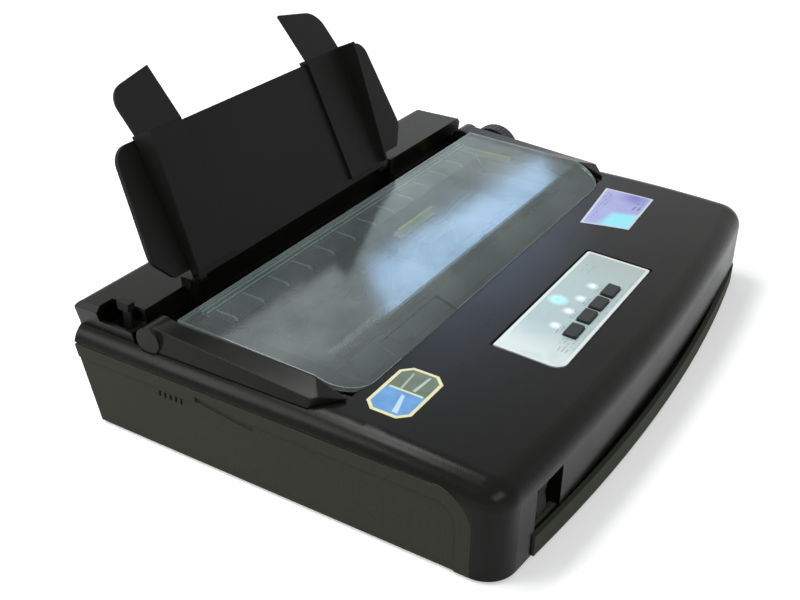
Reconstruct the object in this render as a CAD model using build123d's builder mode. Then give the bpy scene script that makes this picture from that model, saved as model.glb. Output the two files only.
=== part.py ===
"""Dot matrix printer, 80 columns, with a hinged smoked cover and a raised sheet guide.

Millimetres. +Z is up, the operator stands on the -Y side and looks along +Y, +X is to the right.
The solids are drawn round the middle of the case and written round the shared origin, which lies
under the middle of the whole printer, knob and sheet guide included, where its feet stand.
"""
from build123d import *
import math
import os

os.makedirs("parts", exist_ok=True)

# ---------------------------------------------------------------- driving dimensions
body_width = 400.0  # side wall to side wall
body_depth = 300.0  # back wall to the nominal front, which bows out to it
foot_height = 2.0
foot_diameter = 16.0
case_wall = 3.0
side_height = 51.0  # side panel, from the case's underside to the parting line
back_rake = 14.0  # the back wall leans out this far over the side's height
front_bow = 15.5  # sagitta of the bowed bottom lip
skirt_bow = 10.5  # sagitta of the glossy front above the paper groove
plan_corner = 18.0
shoulder_radius = 14.0
top_height = 62.0  # case underside to the glossy top, beside the cover
top_fall = 6.0  # the top falls this much from the cover to the front
cover_reach = 112.0  # the cover's front edge is this far in front of the platen's axis
lip_height = 13.0
groove_height = 2.0
deck_height = 78.0  # case underside to the raised rear deck
deck_depth = 43.0
platen_radius = 14.0
platen_back = 70.0  # the platen's axis is this far in front of the back wall
platen_height = 52.0  # case underside to the platen's axis
knob_diameter = 40.0
knob_length = 13.0
sheet_guide_lean = 25.0  # degrees back from upright
sheet_guide_length = 87.0
cover_margin = 23.0  # from the window's side edge to the case's side
window_thickness = 2.5

# ---------------------------------------------------------------- fits
running = 0.05  # radial clearance of a shaft in its hole
snug = 0.02  # radial clearance of a piece pushed on its shaft
gap = 0.3  # between pieces that move past each other
seam = 0.3  # between two mouldings

# ---------------------------------------------------------------- places that follow
base_z = foot_height
side_x = body_width / 2
back_y = body_depth / 2
front_y = -body_depth / 2
parting_z = base_z + side_height
top_z = base_z + top_height
deck_z = base_z + deck_height
deck_front_y = back_y - deck_depth
platen_y = back_y - platen_back
cover_front_y = platen_y - cover_reach
window_width = body_width - 2 * cover_margin
lip_z = base_z + lip_height
skirt_z = lip_z + groove_height
floor_z = base_z + case_wall
platen_z = base_z + platen_height
platen_at = (platen_y, platen_z)

# the side panel ends at the front in a quarter round, where the glossy front comes down
side_end_y = front_y + 55.0
side_end_radius = 23.0
side_front_y = side_end_y - side_end_radius
groove_left_x = -side_x + 32.0  # the paper groove starts here, right of the glossy corner

# the raised deck: its sides flare outwards from the shoulder to a rounded brow
deck_foot_x = side_x - 9.5
deck_brow_x = side_x - 4.0
deck_brow = 3.5

# crown of the top: an arc that leaves the flat at the cover and falls to the front
crown_run = cover_front_y - front_y
crown_radius = (crown_run**2 + top_fall**2) / (2 * top_fall)
crown_z = top_z - crown_radius


# the shared origin, seen from the middle of the case: the knob stands out on the right, and the
# sheet guide's ears reach over the back
knob_x = side_x + 1.0
knob_end_x = knob_x + knob_length
ears_overhang = 11.4
origin_x = (knob_end_x - side_x) / 2
origin_y = ears_overhang / 2


# ---------------------------------------------------------------- helpers
def block(x, y, z, mode=Mode.ADD):
    """Add a box that spans the given (low, high) pairs."""
    with Locations(((x[0] + x[1]) / 2, (y[0] + y[1]) / 2, (z[0] + z[1]) / 2)):
        Box(x[1] - x[0], y[1] - y[0], z[1] - z[0], mode=mode)


def prism(points, plane, amount, mode=Mode.ADD):
    """Extrude the polygon through the points, drawn on the plane."""
    with BuildSketch(plane) as outline:
        with BuildLine():
            Polyline(*points, close=True)
        make_face()
    extrude(outline.sketch, amount=amount, mode=mode)


def side_prism(points, x, mode=Mode.ADD):
    """Extrude a polygon of (y, z) points between the two x values."""
    prism(points, Plane.YZ.offset(x[0]), x[1] - x[0], mode)


def plan_prism(points, z, mode=Mode.ADD):
    """Extrude a polygon of (x, y) points between the two heights."""
    prism(points, Plane.XY.offset(z[0]), z[1] - z[0], mode)


def rod(axis, start, radius, length, mode=Mode.ADD):
    """Add a round bar from start along the axis 'x', 'y' or 'z'."""
    turns = {"x": (0, 90, 0), "y": (-90, 0, 0), "z": (0, 0, 0)}
    with Locations(Location(start, turns[axis])):
        Cylinder(radius, length, align=(Align.CENTER, Align.CENTER, Align.MIN), mode=mode)


def cross_rod(at, radius, x, mode=Mode.ADD):
    """Add a round bar along X, centred on the (y, z) point and spanning the two x values."""
    rod("x", (x[0], at[0], at[1]), radius, x[1] - x[0], mode)


def both(low, high, side):
    """The x range from low to high on the right (side +1) or its mirror on the left (side -1)."""
    return (low, high) if side > 0 else (-high, -low)


def polar(origin, distance, degrees):
    """Point at a distance and an angle from origin, in the (Y, Z) plane."""
    a = math.radians(degrees)
    return (origin[0] + distance * math.cos(a), origin[1] + distance * math.sin(a))


def finish(piece, name):
    """Label the piece and write it where it stands from the shared origin."""
    placed = piece.part.moved(Location((-origin_x, -origin_y, 0)))
    placed.label = name
    export_step(placed, f"parts/{name}.step")


def plan_face(bow, inset):
    """Footprint of the case: straight back and sides, bowed front, rounded front corners."""
    x = side_x - inset
    ends_y = front_y + front_bow + inset
    middle_y = front_y + front_bow - bow + inset
    with BuildSketch() as face:
        with BuildLine():
            Line((-x, ends_y), (-x, back_y - inset))
            Line((-x, back_y - inset), (x, back_y - inset))
            Line((x, back_y - inset), (x, ends_y))
            ThreePointArc((x, ends_y), (0, middle_y), (-x, ends_y))
        make_face()
        fillet(face.vertices().group_by(Axis.Y)[0], plan_corner - inset)
    return face.sketch


def side_region(grow):
    """Side view of the lower case's wall, which ends at the front in a quarter round.

    grow moves the outline outwards, so the same outline also cuts its neighbour with clearance.
    """
    r = side_end_radius + grow
    centre_z = parting_z - side_end_radius
    far_y = back_y + 20
    with BuildSketch(Plane.YZ.offset(-side_x - 1)) as region:
        with BuildLine():
            Line((side_end_y - r, base_z - 1), (side_end_y - r, centre_z))
            CenterArc((side_end_y, centre_z), r, 180, -90)
            Line((side_end_y, centre_z + r), (far_y, centre_z + r))
            Line((far_y, centre_z + r), (far_y, base_z - 1))
            Line((far_y, base_z - 1), (side_end_y - r, base_z - 1))
        make_face()
    return region.sketch


def rake_cut(inset):
    """Cut away what lies behind the raked back wall, moved in by inset."""
    slope = back_rake / side_height
    points = [
        (back_y - back_rake - slope - inset, base_z - 1),
        (back_y - inset, parting_z),
        (back_y - inset, deck_z + 20),
        (back_y + 30, deck_z + 20),
        (back_y + 30, base_z - 1),
    ]
    side_prism(points, (-side_x - 20, side_x + 20), Mode.SUBTRACT)


def hood(inset):
    """Outer form of the upper case, moved in by inset: crowned top, shoulders and rear deck."""
    arc_end = (cover_front_y + (crown_radius - inset) * math.cos(math.radians(98)),
               crown_z + (crown_radius - inset) * math.sin(math.radians(98)))
    with BuildPart() as body:
        extrude(plan_face(skirt_bow, inset).moved(Location((0, 0, base_z - 1))),
                amount=top_height + 1 - inset)
        with BuildSketch(Plane.YZ.offset(-side_x - 5)) as air:
            with BuildLine():
                CenterArc((cover_front_y, crown_z), crown_radius - inset, 90, 8)
                Line((cover_front_y, top_z - inset), (cover_front_y, top_z + 20))
                Line((cover_front_y, top_z + 20), (front_y - 10, top_z + 20))
                Line((front_y - 10, top_z + 20), arc_end)
            make_face()
        extrude(air.sketch, amount=body_width + 10, mode=Mode.SUBTRACT)
        rim = [
            edge for edge in body.edges()
            if edge.center().Z > top_z - top_fall - inset - 4
            and edge.center().Y < back_y - inset - 1
            and abs(edge.center().Y - cover_front_y) > 0.01
            and not (edge.geom_type == GeomType.LINE and abs(edge.tangent_at(0).Z) > 0.9)
        ]
        fillet(rim, shoulder_radius - inset)
        rake_cut(inset)
        foot_x = deck_foot_x - inset
        brow_x = deck_brow_x - inset
        prism([(-foot_x, parting_z + 1), (-brow_x, deck_z - deck_brow - inset),
               (-brow_x + deck_brow, deck_z - inset), (brow_x - deck_brow, deck_z - inset),
               (brow_x, deck_z - deck_brow - inset), (foot_x, parting_z + 1)],
              Plane.XZ.offset(-back_y + inset), deck_depth - 2 * inset)
        back_edge = body.edges().filter_by(Axis.X).sort_by(Axis.Z)[-2:].sort_by(Axis.Y)[-1]
        fillet(back_edge, 6.0 - inset)
    return body.part


# ---------------------------------------------------------------- where the mechanism stands
base_plate_z = base_z + 6.0  # underside of the base plate
base_plate_sheet = 1.2
plate_top_z = base_plate_z + base_plate_sheet
base_plate_front_y = platen_y - 92.0
base_plate_back_y = platen_y + 48.0
frame_sheet = 2.0
frame_x = side_x - 28.0  # outer face of each side frame
frame_inner_x = frame_x - frame_sheet
platen_shaft_radius = 4.0

gear_module = 1.0
gear_face = 6.0
gear_right_x = -frame_x - 4.0  # inner face of the gear train, outside the left frame
gear_left_x = gear_right_x - gear_face
gear_clear = 0.15
platen_teeth = 32
idler_teeth = 36
pinion_teeth = 10
tractor_teeth = 16


def centres(teeth_a, teeth_b):
    """Distance between the axes of two meshed gears."""
    return gear_module * (teeth_a + teeth_b) / 2 + gear_clear


idler_angle = -40.0  # seen from the platen's axis
pinion_angle = 200.0  # seen from the idler's axis
tractor_angle = 35.0
idler_at = polar(platen_at, centres(platen_teeth, idler_teeth), idler_angle)
pinion_at = polar(idler_at, centres(idler_teeth, pinion_teeth), pinion_angle)
tractor_at = polar(idler_at, centres(idler_teeth, tractor_teeth), tractor_angle)
tractor_rod_at = (tractor_at[0], tractor_at[1] - 10.0)
tractor_shaft_side = 5.0
tractor_rod_radius = 2.5
journal_radius = 2.5  # turned ends of the square tractor shaft

roller_radius = 5.0
roller_shaft_radius = 2.0
roller_angle = 240.0  # below the platen's front
roller_at = polar(platen_at, platen_radius + roller_radius + gap, roller_angle)

carriage_shaft_at = (platen_y - 46.0, base_z + 28.0)
carriage_shaft_radius = 5.0
release_pivot_at = (deck_front_y + 11.0, base_z + 56.0)
thickness_pivot_at = (platen_y + 9.0, base_z + 40.0)
stud_radius = 2.5

belt_y = platen_y - 68.0  # middle of the belt loop
belt_z = base_z + 33.0  # lower edge of the belt
belt_height = 6.0
belt_thickness = 1.2
pulley_radius = 5.0
pulley_x = frame_x - 18.0
rail_half = pulley_x - 16.0
rail_y = belt_y - 8.0
rail_sheet = 1.2
rail_top_z = base_z + 20.0
motor_shaft_radius = 1.5
carriage_motor_radius = 15.0
idler_post_radius = 4.0

ribbon_y = platen_y - platen_radius - 1.0
ribbon_thickness = 0.4
cartridge_half = frame_x - 22.0
cartridge_arm = 12.0
cartridge_z = base_z + 40.0
cartridge_top_z = base_z + 56.0
cartridge_front_y = cover_front_y + 6.0
cartridge_back_y = cartridge_front_y + 22.0
cartridge_pin_at = (cartridge_back_y - 6.0, base_z + 48.0)

hinge_at = (deck_front_y - 11.5, top_z + 4.5)  # axis of the cover's hinges
hinge_pin_radius = 2.5
barrel_radius = 8.5
cover_wall = 2.2
cover_x = window_width / 2
fairing_foot_x = side_x - 6.0
ear_x = (cover_x + 6.0, cover_x + 9.0)

sheet_left_x = -side_x + 30.0  # widest place of the sheet guide
sheet_right_x = side_x - 98.0
sheet_x = (sheet_left_x + sheet_right_x) / 2
sheet_low_half = (sheet_right_x - sheet_left_x) / 2
sheet_foot_half = sheet_low_half - 18.0
sheet_top_half = sheet_low_half - 8.0
sheet_pivot_at = (deck_front_y - 3.0, deck_z + 2.0)
sheet_pin_radius = 2.5
sheet_bearing_x = (sheet_foot_half - 10.0, sheet_foot_half - 4.0)  # from the guide's middle
sheet_lug_x = (sheet_foot_half - 18.0, sheet_foot_half - 12.0)

post_x = side_x - 9.0  # screw posts in the four corners
post_y = (front_y + 65.0, back_y - 32.0)
post_radius = 4.0
screw_radius = 1.5
screw_head_radius = 3.0
screw_head = 2.0

board_z = base_z + 8.0
board_sheet = 1.6
board_depth = 93.0
board_mid_y = (front_y + belt_y - carriage_motor_radius) / 2 + 5.0  # between the front and the motor
board_y = (board_mid_y - board_depth / 2, board_mid_y + board_depth / 2)
main_board_x = (-frame_inner_x, -frame_inner_x + 230.0)
power_board_x = (frame_inner_x - 95.0, frame_inner_x)
standoff_radius = 3.0

inlet_x = -side_x + 50.0
inlet_z = base_z + 16.0
inlet_width = 27.0
inlet_height = 20.0
socket_x = side_x - 70.0
socket_width = 54.0
socket_height = 12.0

# the back wall's outer face at the sockets' height, and the plane of a socket there
rake_angle = math.degrees(math.atan(back_rake / side_height))
rake_point_y = back_y - back_rake + back_rake * (inlet_z - base_z) / side_height


def rake_plane(x):
    """Plane on the raked back wall at the sockets' height, its normal pointing out of the case."""
    a = math.radians(rake_angle)
    return Plane(origin=(x, rake_point_y, inlet_z), x_dir=(-1, 0, 0),
                 z_dir=(0, math.cos(a), -math.sin(a)))


# ---------------------------------------------------------------- control panel's place
panel_x = -12.5
panel_y = front_y + 60.0
panel_width = 141.0
panel_depth = 44.0
panel_sheet = 1.2
panel_recess = 1.5
panel_border = 1.5
panel_corner = 8.0
panel_tilt = math.degrees(math.asin((cover_front_y - panel_y) / crown_radius))
panel_z = crown_z + crown_radius * math.cos(math.radians(panel_tilt))
panel_plane = Plane(
    origin=(panel_x, panel_y, panel_z), x_dir=(1, 0, 0),
    z_dir=(0, -math.sin(math.radians(panel_tilt)), math.cos(math.radians(panel_tilt))))
key_places = [-29.5, -9.5, 9.0, 28.0]  # along the panel, from its middle
key_row = -11.0
lamp_row = 1.0
lamp_radius = 1.5
power_lamp_at = (-1.0, 12.0)
power_lamp_radius = 3.2
key_width = 15.0
key_depth = 8.5
key_travel = 1.0
key_board_drop = 10.0  # panel surface to the board's top
key_post_places = [(-62.0, -15.0), (62.0, -15.0), (-62.0, 15.0), (62.0, 15.0)]
key_post_radius = 3.0

# ---------------------------------------------------------------- power switch's place
switch_x = (-side_x + 33.0, -side_x + 60.0)
switch_z = (base_z + 14.0, base_z + 42.0)
switch_back_y = front_y + 20.0
rocker_width = 12.0
rocker_height = 20.0
rocker_at = (switch_back_y + 3.0, base_z + 27.0)  # its pivot
rocker_pin_radius = 1.5
rocker_x = (switch_x[0] + switch_x[1]) / 2


def panel_outline(grow, corner):
    """Rectangle of the control panel, with one large corner at the front left."""
    with BuildSketch() as face:
        Rectangle(panel_width + 2 * grow, panel_depth + 2 * grow)
        fillet(face.vertices().sort_by(Axis.X)[:2].sort_by(Axis.Y)[:1], corner + grow)
        fillet(face.vertices().sort_by(Axis.X)[-2:], 2.0)
    return face.sketch


def on_panel(sketch, drop):
    """Place a flat sketch on the panel's plane, lowered by drop."""
    return panel_plane.offset(-drop).location * sketch


# ---------------------------------------------------------------- lower case
step_drop = 9.0  # the side panel steps in this far below the parting line
step_depth = 0.7
shadow_depth = 1.5
vent_count = 5
vent_pitch = 4.0
vent_y = platen_y - 12.0
vent_z = base_z + 36.0
grip_y = (platen_y - 62.0, platen_y - 22.0)
grip_z = (base_z + 37.0, base_z + 42.0)
grip_height = 4.0
shaft_hole_radius = 8.0
standoffs = [
    (x, y)
    for x in (main_board_x[0] + 6, main_board_x[1] - 6, power_board_x[0] + 6, power_board_x[1] - 6)
    for y in (board_y[0] + 6, board_y[1] - 6)
]
plate_posts = [
    (x, y)
    for x in (-110.0, 0.0, 110.0)
    for y in (base_plate_front_y + 6, base_plate_back_y - 8)
]
plate_post_radius = 5.0

with BuildPart() as lower_case:
    extrude(plan_face(front_bow, 0).moved(Location((0, 0, base_z))), amount=side_height)
    extrude(plan_face(front_bow, case_wall).moved(Location((0, 0, floor_z))), amount=side_height,
            mode=Mode.SUBTRACT)
    # the raked back wall takes the place of the straight one
    wall_foot = back_y - back_rake
    side_prism([(wall_foot - case_wall, base_z), (wall_foot, base_z), (back_y, parting_z),
                (back_y - case_wall, parting_z)], (-side_x, side_x))
    rake_cut(0)
    # in front of the quarter round only the lip is left
    with BuildSketch(Plane.YZ.offset(-side_x - 1)) as front_air:
        with BuildLine():
            Line((side_front_y, lip_z), (side_front_y, parting_z - side_end_radius))
            CenterArc((side_end_y, parting_z - side_end_radius), side_end_radius, 180, -90)
            Line((side_end_y, parting_z), (side_end_y, parting_z + 5))
            Line((side_end_y, parting_z + 5), (front_y - 5, parting_z + 5))
            Line((front_y - 5, parting_z + 5), (front_y - 5, lip_z))
            Line((front_y - 5, lip_z), (side_front_y, lip_z))
        make_face()
    extrude(front_air.sketch, amount=body_width + 2, mode=Mode.SUBTRACT)
    # the left corner is left free for the glossy front, which comes down to the bottom there
    with BuildSketch(Plane.XY.offset(base_z - 1)) as corner:
        add(plan_face(front_bow, -1))
        add(plan_face(skirt_bow, case_wall + seam), mode=Mode.SUBTRACT)
        with Locations((0, side_front_y + body_depth)):
            Rectangle(body_width + 10, 2 * body_depth, mode=Mode.SUBTRACT)
        with Locations((groove_left_x + side_x, front_y)):
            Rectangle(2 * side_x, body_depth, mode=Mode.SUBTRACT)
    extrude(corner.sketch, amount=side_height, mode=Mode.SUBTRACT)
    # inner wall that closes the paper groove behind the skirt
    with BuildSketch(Plane.XY.offset(floor_z - 1)) as groove_back:
        add(plan_face(skirt_bow, case_wall + seam))
        add(plan_face(skirt_bow, 2 * case_wall), mode=Mode.SUBTRACT)
        with Locations((0, side_front_y + body_depth)):
            Rectangle(body_width + 10, 2 * body_depth, mode=Mode.SUBTRACT)
        with Locations((groove_left_x - side_x, front_y)):
            Rectangle(2 * side_x, body_depth, mode=Mode.SUBTRACT)
    extrude(groove_back.sketch, amount=skirt_z + 3 - floor_z + 1)
    block((switch_x[0] - 2.5 - seam, switch_x[1] + 2.5 + seam), (front_y, switch_back_y + 2.5 + seam),
          (skirt_z - seam, parting_z), Mode.SUBTRACT)
    # the side panels step in below the parting line, and a shadow groove runs along it
    step = side_region(-step_drop)
    extrude(step, amount=1 + step_depth, mode=Mode.SUBTRACT)
    extrude(step.moved(Location((body_width + 1 - step_depth, 0, 0))), amount=2, mode=Mode.SUBTRACT)
    for side in (-1, 1):
        block(both(side_x - shadow_depth, side_x + 1, side), (side_end_y, back_y + 1),
              (parting_z - 1, parting_z + 1), Mode.SUBTRACT)
        side_prism([(grip_y[0], grip_z[0]), (grip_y[1], grip_z[1]),
                    (grip_y[1], grip_z[1] + grip_height), (grip_y[0], grip_z[0] + grip_height)],
                   both(side_x - step_depth - 1, side_x + 1, side), Mode.SUBTRACT)
        for i in range(vent_count):
            y = vent_y + i * vent_pitch
            block(both(side_x - case_wall - 1, side_x + 1, side), (y, y + 1.6),
                  (vent_z, vent_z + 4), Mode.SUBTRACT)
        # screw posts, each tied to its side wall
        for y in post_y:
            rod("z", (side * post_x, y, floor_z - 1), post_radius, parting_z - floor_z + 1)
            block(both(post_x + 2, side_x - case_wall + 0.5, side), (y - 1.5, y + 1.5),
                  (floor_z - 1, parting_z - 2))
            rod("z", (side * post_x, y, base_z - 1), screw_radius + running, side_height + 2,
                Mode.SUBTRACT)
            rod("z", (side * post_x, y, base_z - 1), screw_head_radius + gap, screw_head + 1.5,
                Mode.SUBTRACT)
    for x, y in standoffs:
        rod("z", (x, y, floor_z - 1), standoff_radius, board_z - floor_z + 1)
    for x, y in plate_posts:
        rod("z", (x, y, floor_z - 1), plate_post_radius, base_plate_z - floor_z + 1)
    cross_rod(platen_at, shaft_hole_radius, (side_x - 10, side_x + 1), Mode.SUBTRACT)
    # openings for the power inlet and the data socket
    for x, width, height in ((inlet_x, inlet_width, inlet_height), (socket_x, socket_width, socket_height)):
        with BuildSketch(rake_plane(x).offset(-case_wall - 2)) as opening:
            Rectangle(width + 2 * seam, height + 2 * seam)
        extrude(opening.sketch, amount=case_wall + 6, mode=Mode.SUBTRACT)
finish(lower_case, "lower_case")

# ---------------------------------------------------------------- upper case
opening_x = side_x - 12.0  # under the cover's end fairings
opening_y = (cover_front_y + 18.0, hinge_at[0] + 4.5)
opening_front_x = cover_x - 5.0
opening_front_y = cover_front_y + 3.0
ledge_z = top_z - 2.4
window_corner = 25.0
window_back_y = hinge_at[0] - barrel_radius
notch_y = (release_pivot_at[0] - 13.0, release_pivot_at[0] + 14.0)
notch_z = base_z + 68.5


def window_plan(grow):
    """Plan of the cover's window: straight, with large front corners."""
    with BuildSketch() as face:
        with Locations((0, (window_back_y + cover_front_y) / 2)):
            Rectangle(window_width + 2 * grow, window_back_y - cover_front_y + 2 * grow)
        fillet(face.vertices().sort_by(Axis.Y)[:2], window_corner + grow)
    return face.sketch


with BuildPart() as upper_case:
    add(hood(0))
    add(hood(case_wall), mode=Mode.SUBTRACT)
    extrude(side_region(seam), amount=body_width + 2, mode=Mode.SUBTRACT)
    block((groove_left_x - seam, side_x + 1), (front_y - 5, side_front_y + 1), (base_z - 2, skirt_z),
          Mode.SUBTRACT)
    # the glossy left corner ends flush with the case's underside
    block((-side_x - 1, groove_left_x), (front_y - 5, side_front_y + 1), (base_z - 2, base_z),
          Mode.SUBTRACT)
    # ledge under the window's front edge
    block((-opening_front_x - 2, opening_front_x + 2), (opening_front_y - 6, opening_front_y),
          (ledge_z - 4, top_z - 2))
    block((-opening_x, opening_x), opening_y, (parting_z - 5, top_z + 5), Mode.SUBTRACT)
    block((-opening_front_x, opening_front_x), (opening_front_y, opening_y[0] + 1),
          (parting_z - 5, top_z + 5), Mode.SUBTRACT)
    with BuildSketch(Plane.XY.offset(ledge_z)) as window_seat:
        add(window_plan(gap))
        with Locations((0, opening_y[0] + body_depth)):
            Rectangle(body_width, 2 * body_depth, mode=Mode.SUBTRACT)
    extrude(window_seat.sketch, amount=10, mode=Mode.SUBTRACT)
    for side in (-1, 1):
        # round pocket for the barrel of the cover's hinge, and the ear that carries its pin
        cross_rod(hinge_at, barrel_radius + gap, both(cover_x - 1.3, fairing_foot_x + gap, side),
                  Mode.SUBTRACT)
        cross_rod(hinge_at, barrel_radius - cover_wall - 0.8, both(*ear_x, side))
        root_y = deck_front_y + 1.5
        side_prism([(hinge_at[0], hinge_at[1] - 2), (hinge_at[0] + 7, top_z - case_wall - 0.5),
                    (root_y, top_z - case_wall - 0.5), (root_y, top_z + 2), (hinge_at[0], hinge_at[1] + 1)],
                   both(*ear_x, side))
        cross_rod(hinge_at, hinge_pin_radius + running, both(ear_x[0] - 1, ear_x[1] + 1, side),
                  Mode.SUBTRACT)
        # posts that meet the lower case's posts
        for y in post_y:
            rod("z", (side * post_x, y, parting_z), post_radius, side_height / 8)
            rod("z", (side * post_x, y, parting_z - 1), screw_radius + running, 6, Mode.SUBTRACT)
        # bearings of the sheet guide, standing in front of the deck
        bearing = (sheet_x + both(*sheet_bearing_x, side)[0], sheet_x + both(*sheet_bearing_x, side)[1])
        block(bearing, (sheet_pivot_at[0] - 4.5, deck_front_y + 2), (top_z - 2, sheet_pivot_at[1] + 4))
        cross_rod(sheet_pivot_at, sheet_pin_radius + running, (bearing[0] - 1, bearing[1] + 1),
                  Mode.SUBTRACT)
    # notch in the deck for the release lever, and the hole for the platen's shaft
    block((-side_x, -side_x + 18), notch_y, (notch_z, deck_z + 1), Mode.SUBTRACT)
    cross_rod(platen_at, shaft_hole_radius, (side_x - 10, side_x + 1), Mode.SUBTRACT)
    # recess of the control panel with holes for the keys and lamps
    extrude(on_panel(panel_outline(panel_border, panel_corner), panel_recess), amount=6,
            mode=Mode.SUBTRACT)
    for x in key_places:
        with BuildSketch(panel_plane.offset(-6)) as key_hole:
            with Locations((x, key_row)):
                Rectangle(key_width + 2 * gap, key_depth + 2 * gap)
        extrude(key_hole.sketch, amount=6, mode=Mode.SUBTRACT)
        with BuildSketch(panel_plane.offset(-6)) as lamp_hole:
            with Locations((x, lamp_row)):
                Circle(lamp_radius + running)
        extrude(lamp_hole.sketch, amount=6, mode=Mode.SUBTRACT)
    with BuildSketch(panel_plane.offset(-6)) as power_lamp_hole:
        with Locations(power_lamp_at):
            Circle(power_lamp_radius + running)
    extrude(power_lamp_hole.sketch, amount=6, mode=Mode.SUBTRACT)
    # posts that carry the key board
    with BuildSketch(panel_plane.offset(-key_board_drop)) as board_posts:
        with Locations(*key_post_places):
            Circle(key_post_radius)
    extrude(board_posts.sketch, amount=key_board_drop - panel_recess - 0.5)
    # recess of the power switch
    block((switch_x[0] - 2.5, switch_x[1] + 2.5), (front_y + 13, switch_back_y + 2.5),
          (skirt_z, switch_z[1] + 2.5))
    block(switch_x, (front_y, switch_back_y), (skirt_z - 1, switch_z[1]), Mode.SUBTRACT)
    block((rocker_x - rocker_width / 2 - gap, rocker_x + rocker_width / 2 + gap),
          (switch_back_y - 1, switch_back_y + 4),
          (rocker_at[1] - rocker_height / 2 - 1.5, rocker_at[1] + rocker_height / 2 + 1.5),
          Mode.SUBTRACT)
    for side in (-1, 1):
        cheek = sorted((rocker_x + side * (rocker_width / 2 + gap), rocker_x + side * (rocker_width / 2 + 3)))
        block(cheek, (switch_back_y + 1, rocker_at[0] + 4), (rocker_at[1] - 4, rocker_at[1] + 4))
        cross_rod(rocker_at, rocker_pin_radius + running, (cheek[0] - 1, cheek[1] + 1), Mode.SUBTRACT)
finish(upper_case, "upper_case")

# ---------------------------------------------------------------- feet
foot_x = side_x - 28.0
foot_y = (front_y + 52.0, back_y - 34.0)
with BuildPart() as rubber_feet:
    with Locations(*[(x, y, 0) for x in (-foot_x, foot_x) for y in foot_y]):
        Cylinder(foot_diameter / 2, foot_height, align=(Align.CENTER, Align.CENTER, Align.MIN))
    fillet(rubber_feet.edges().group_by(Axis.Z)[0], 0.5)
finish(rubber_feet, "rubber_feet")

# ---------------------------------------------------------------- base plate and side frames
with BuildPart() as base_plate:
    block((-frame_x, frame_x), (base_plate_front_y, base_plate_back_y), (base_plate_z, plate_top_z))
    block((-rail_half, rail_half), (rail_y - rail_sheet / 2, rail_y + rail_sheet / 2),
          (plate_top_z - 0.5, rail_top_z))
    # holes that lighten the plate
    with Locations(*[(x, platen_y - 34, base_plate_z) for x in (-90, -30, 30, 90)]):
        Cylinder(9, 10, mode=Mode.SUBTRACT)
    rod("z", (pulley_x, belt_y, plate_top_z - 0.5), idler_post_radius, belt_z - 2 - plate_top_z)
    rod("z", (pulley_x, belt_y, plate_top_z + 2), motor_shaft_radius + running, belt_z, Mode.SUBTRACT)
finish(base_plate, "base_plate")

frame_profile = [
    (base_plate_front_y - 2, cartridge_pin_at[1] - 6),
    (base_plate_front_y - 2, cartridge_pin_at[1] + 8),
    (platen_y - 56.0, base_z + 60.0),
    (deck_front_y - 12.0, base_z + 60.0),
    (deck_front_y - 9.0, base_z + 58.5),
    (deck_front_y + 4.0, base_z + 58.5),
    (deck_front_y + 6.0, base_z + 61.0),
    (deck_front_y + 25.0, base_z + 61.0),
    (deck_front_y + 29.0, base_z + 57.0),
    (deck_front_y + 29.0, base_z + 30.0),
    (base_plate_back_y, plate_top_z + 6),
    (base_plate_back_y, plate_top_z),
    (base_plate_front_y, plate_top_z),
    (base_plate_front_y, cartridge_pin_at[1] - 10),
]
bush_radius = 6.0
motor_boss_radius = 4.0


def frame_holes(x):
    """Bearings that both side frames share."""
    cross_rod(carriage_shaft_at, carriage_shaft_radius + snug, x, Mode.SUBTRACT)
    cross_rod(platen_at, bush_radius + snug, x, Mode.SUBTRACT)
    cross_rod(roller_at, roller_shaft_radius + running, x, Mode.SUBTRACT)
    cross_rod(tractor_at, journal_radius + running, x, Mode.SUBTRACT)
    cross_rod(tractor_rod_at, tractor_rod_radius + snug, x, Mode.SUBTRACT)
    cross_rod(cartridge_pin_at, 2.5 + snug, x, Mode.SUBTRACT)


left_sheet = (-frame_x, -frame_inner_x)
right_sheet = (frame_inner_x, frame_x)

with BuildPart() as side_frame_left:
    side_prism(frame_profile, left_sheet)
    frame_holes((-frame_x - 1, -frame_inner_x + 1))
    cross_rod(pinion_at, motor_boss_radius, (-frame_x - 1, -frame_inner_x + 1), Mode.SUBTRACT)
    # studs of the idler gear and of the release lever
    cross_rod(idler_at, stud_radius, (gear_left_x - 1, -frame_inner_x - 0.5))
    cross_rod(idler_at, stud_radius + 2, (gear_right_x + gap, -frame_inner_x - 0.5))
    cross_rod(release_pivot_at, stud_radius, (gear_left_x - 5, -frame_inner_x - 0.5))
finish(side_frame_left, "side_frame_left")

with BuildPart() as side_frame_right:
    side_prism(frame_profile, right_sheet)
    frame_holes((frame_inner_x - 1, frame_x + 1))
    # stud of the thickness lever, reaching inwards
    cross_rod(thickness_pivot_at, stud_radius, (frame_inner_x - 8, frame_inner_x + 0.5))
finish(side_frame_right, "side_frame_right")

with BuildPart() as carriage_shaft:
    cross_rod(carriage_shaft_at, carriage_shaft_radius, (-frame_x - 1, frame_x + 1))
    chamfer(carriage_shaft.edges().filter_by(GeomType.CIRCLE), 0.6)
finish(carriage_shaft, "carriage_shaft")

# ---------------------------------------------------------------- gears
addendum = 0.9 * gear_module
dedendum = 1.25 * gear_module


def gear_face_sketch(teeth, plane, tooth_angle):
    """Toothed outline in the (Y, Z) plane with the middle of one tooth at tooth_angle."""
    pitch = 360 / teeth
    pitch_radius = gear_module * teeth / 2
    outline = []
    for i in range(teeth):
        middle = tooth_angle + i * pitch
        for share, radius in ((-0.33, pitch_radius - dedendum), (-0.11, pitch_radius + addendum),
                              (0.11, pitch_radius + addendum), (0.33, pitch_radius - dedendum)):
            outline.append(polar((0, 0), radius, middle + share * pitch))
    with BuildSketch(plane) as face:
        with BuildLine():
            Polyline(*outline, close=True)
        make_face()
    return face.sketch


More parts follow.
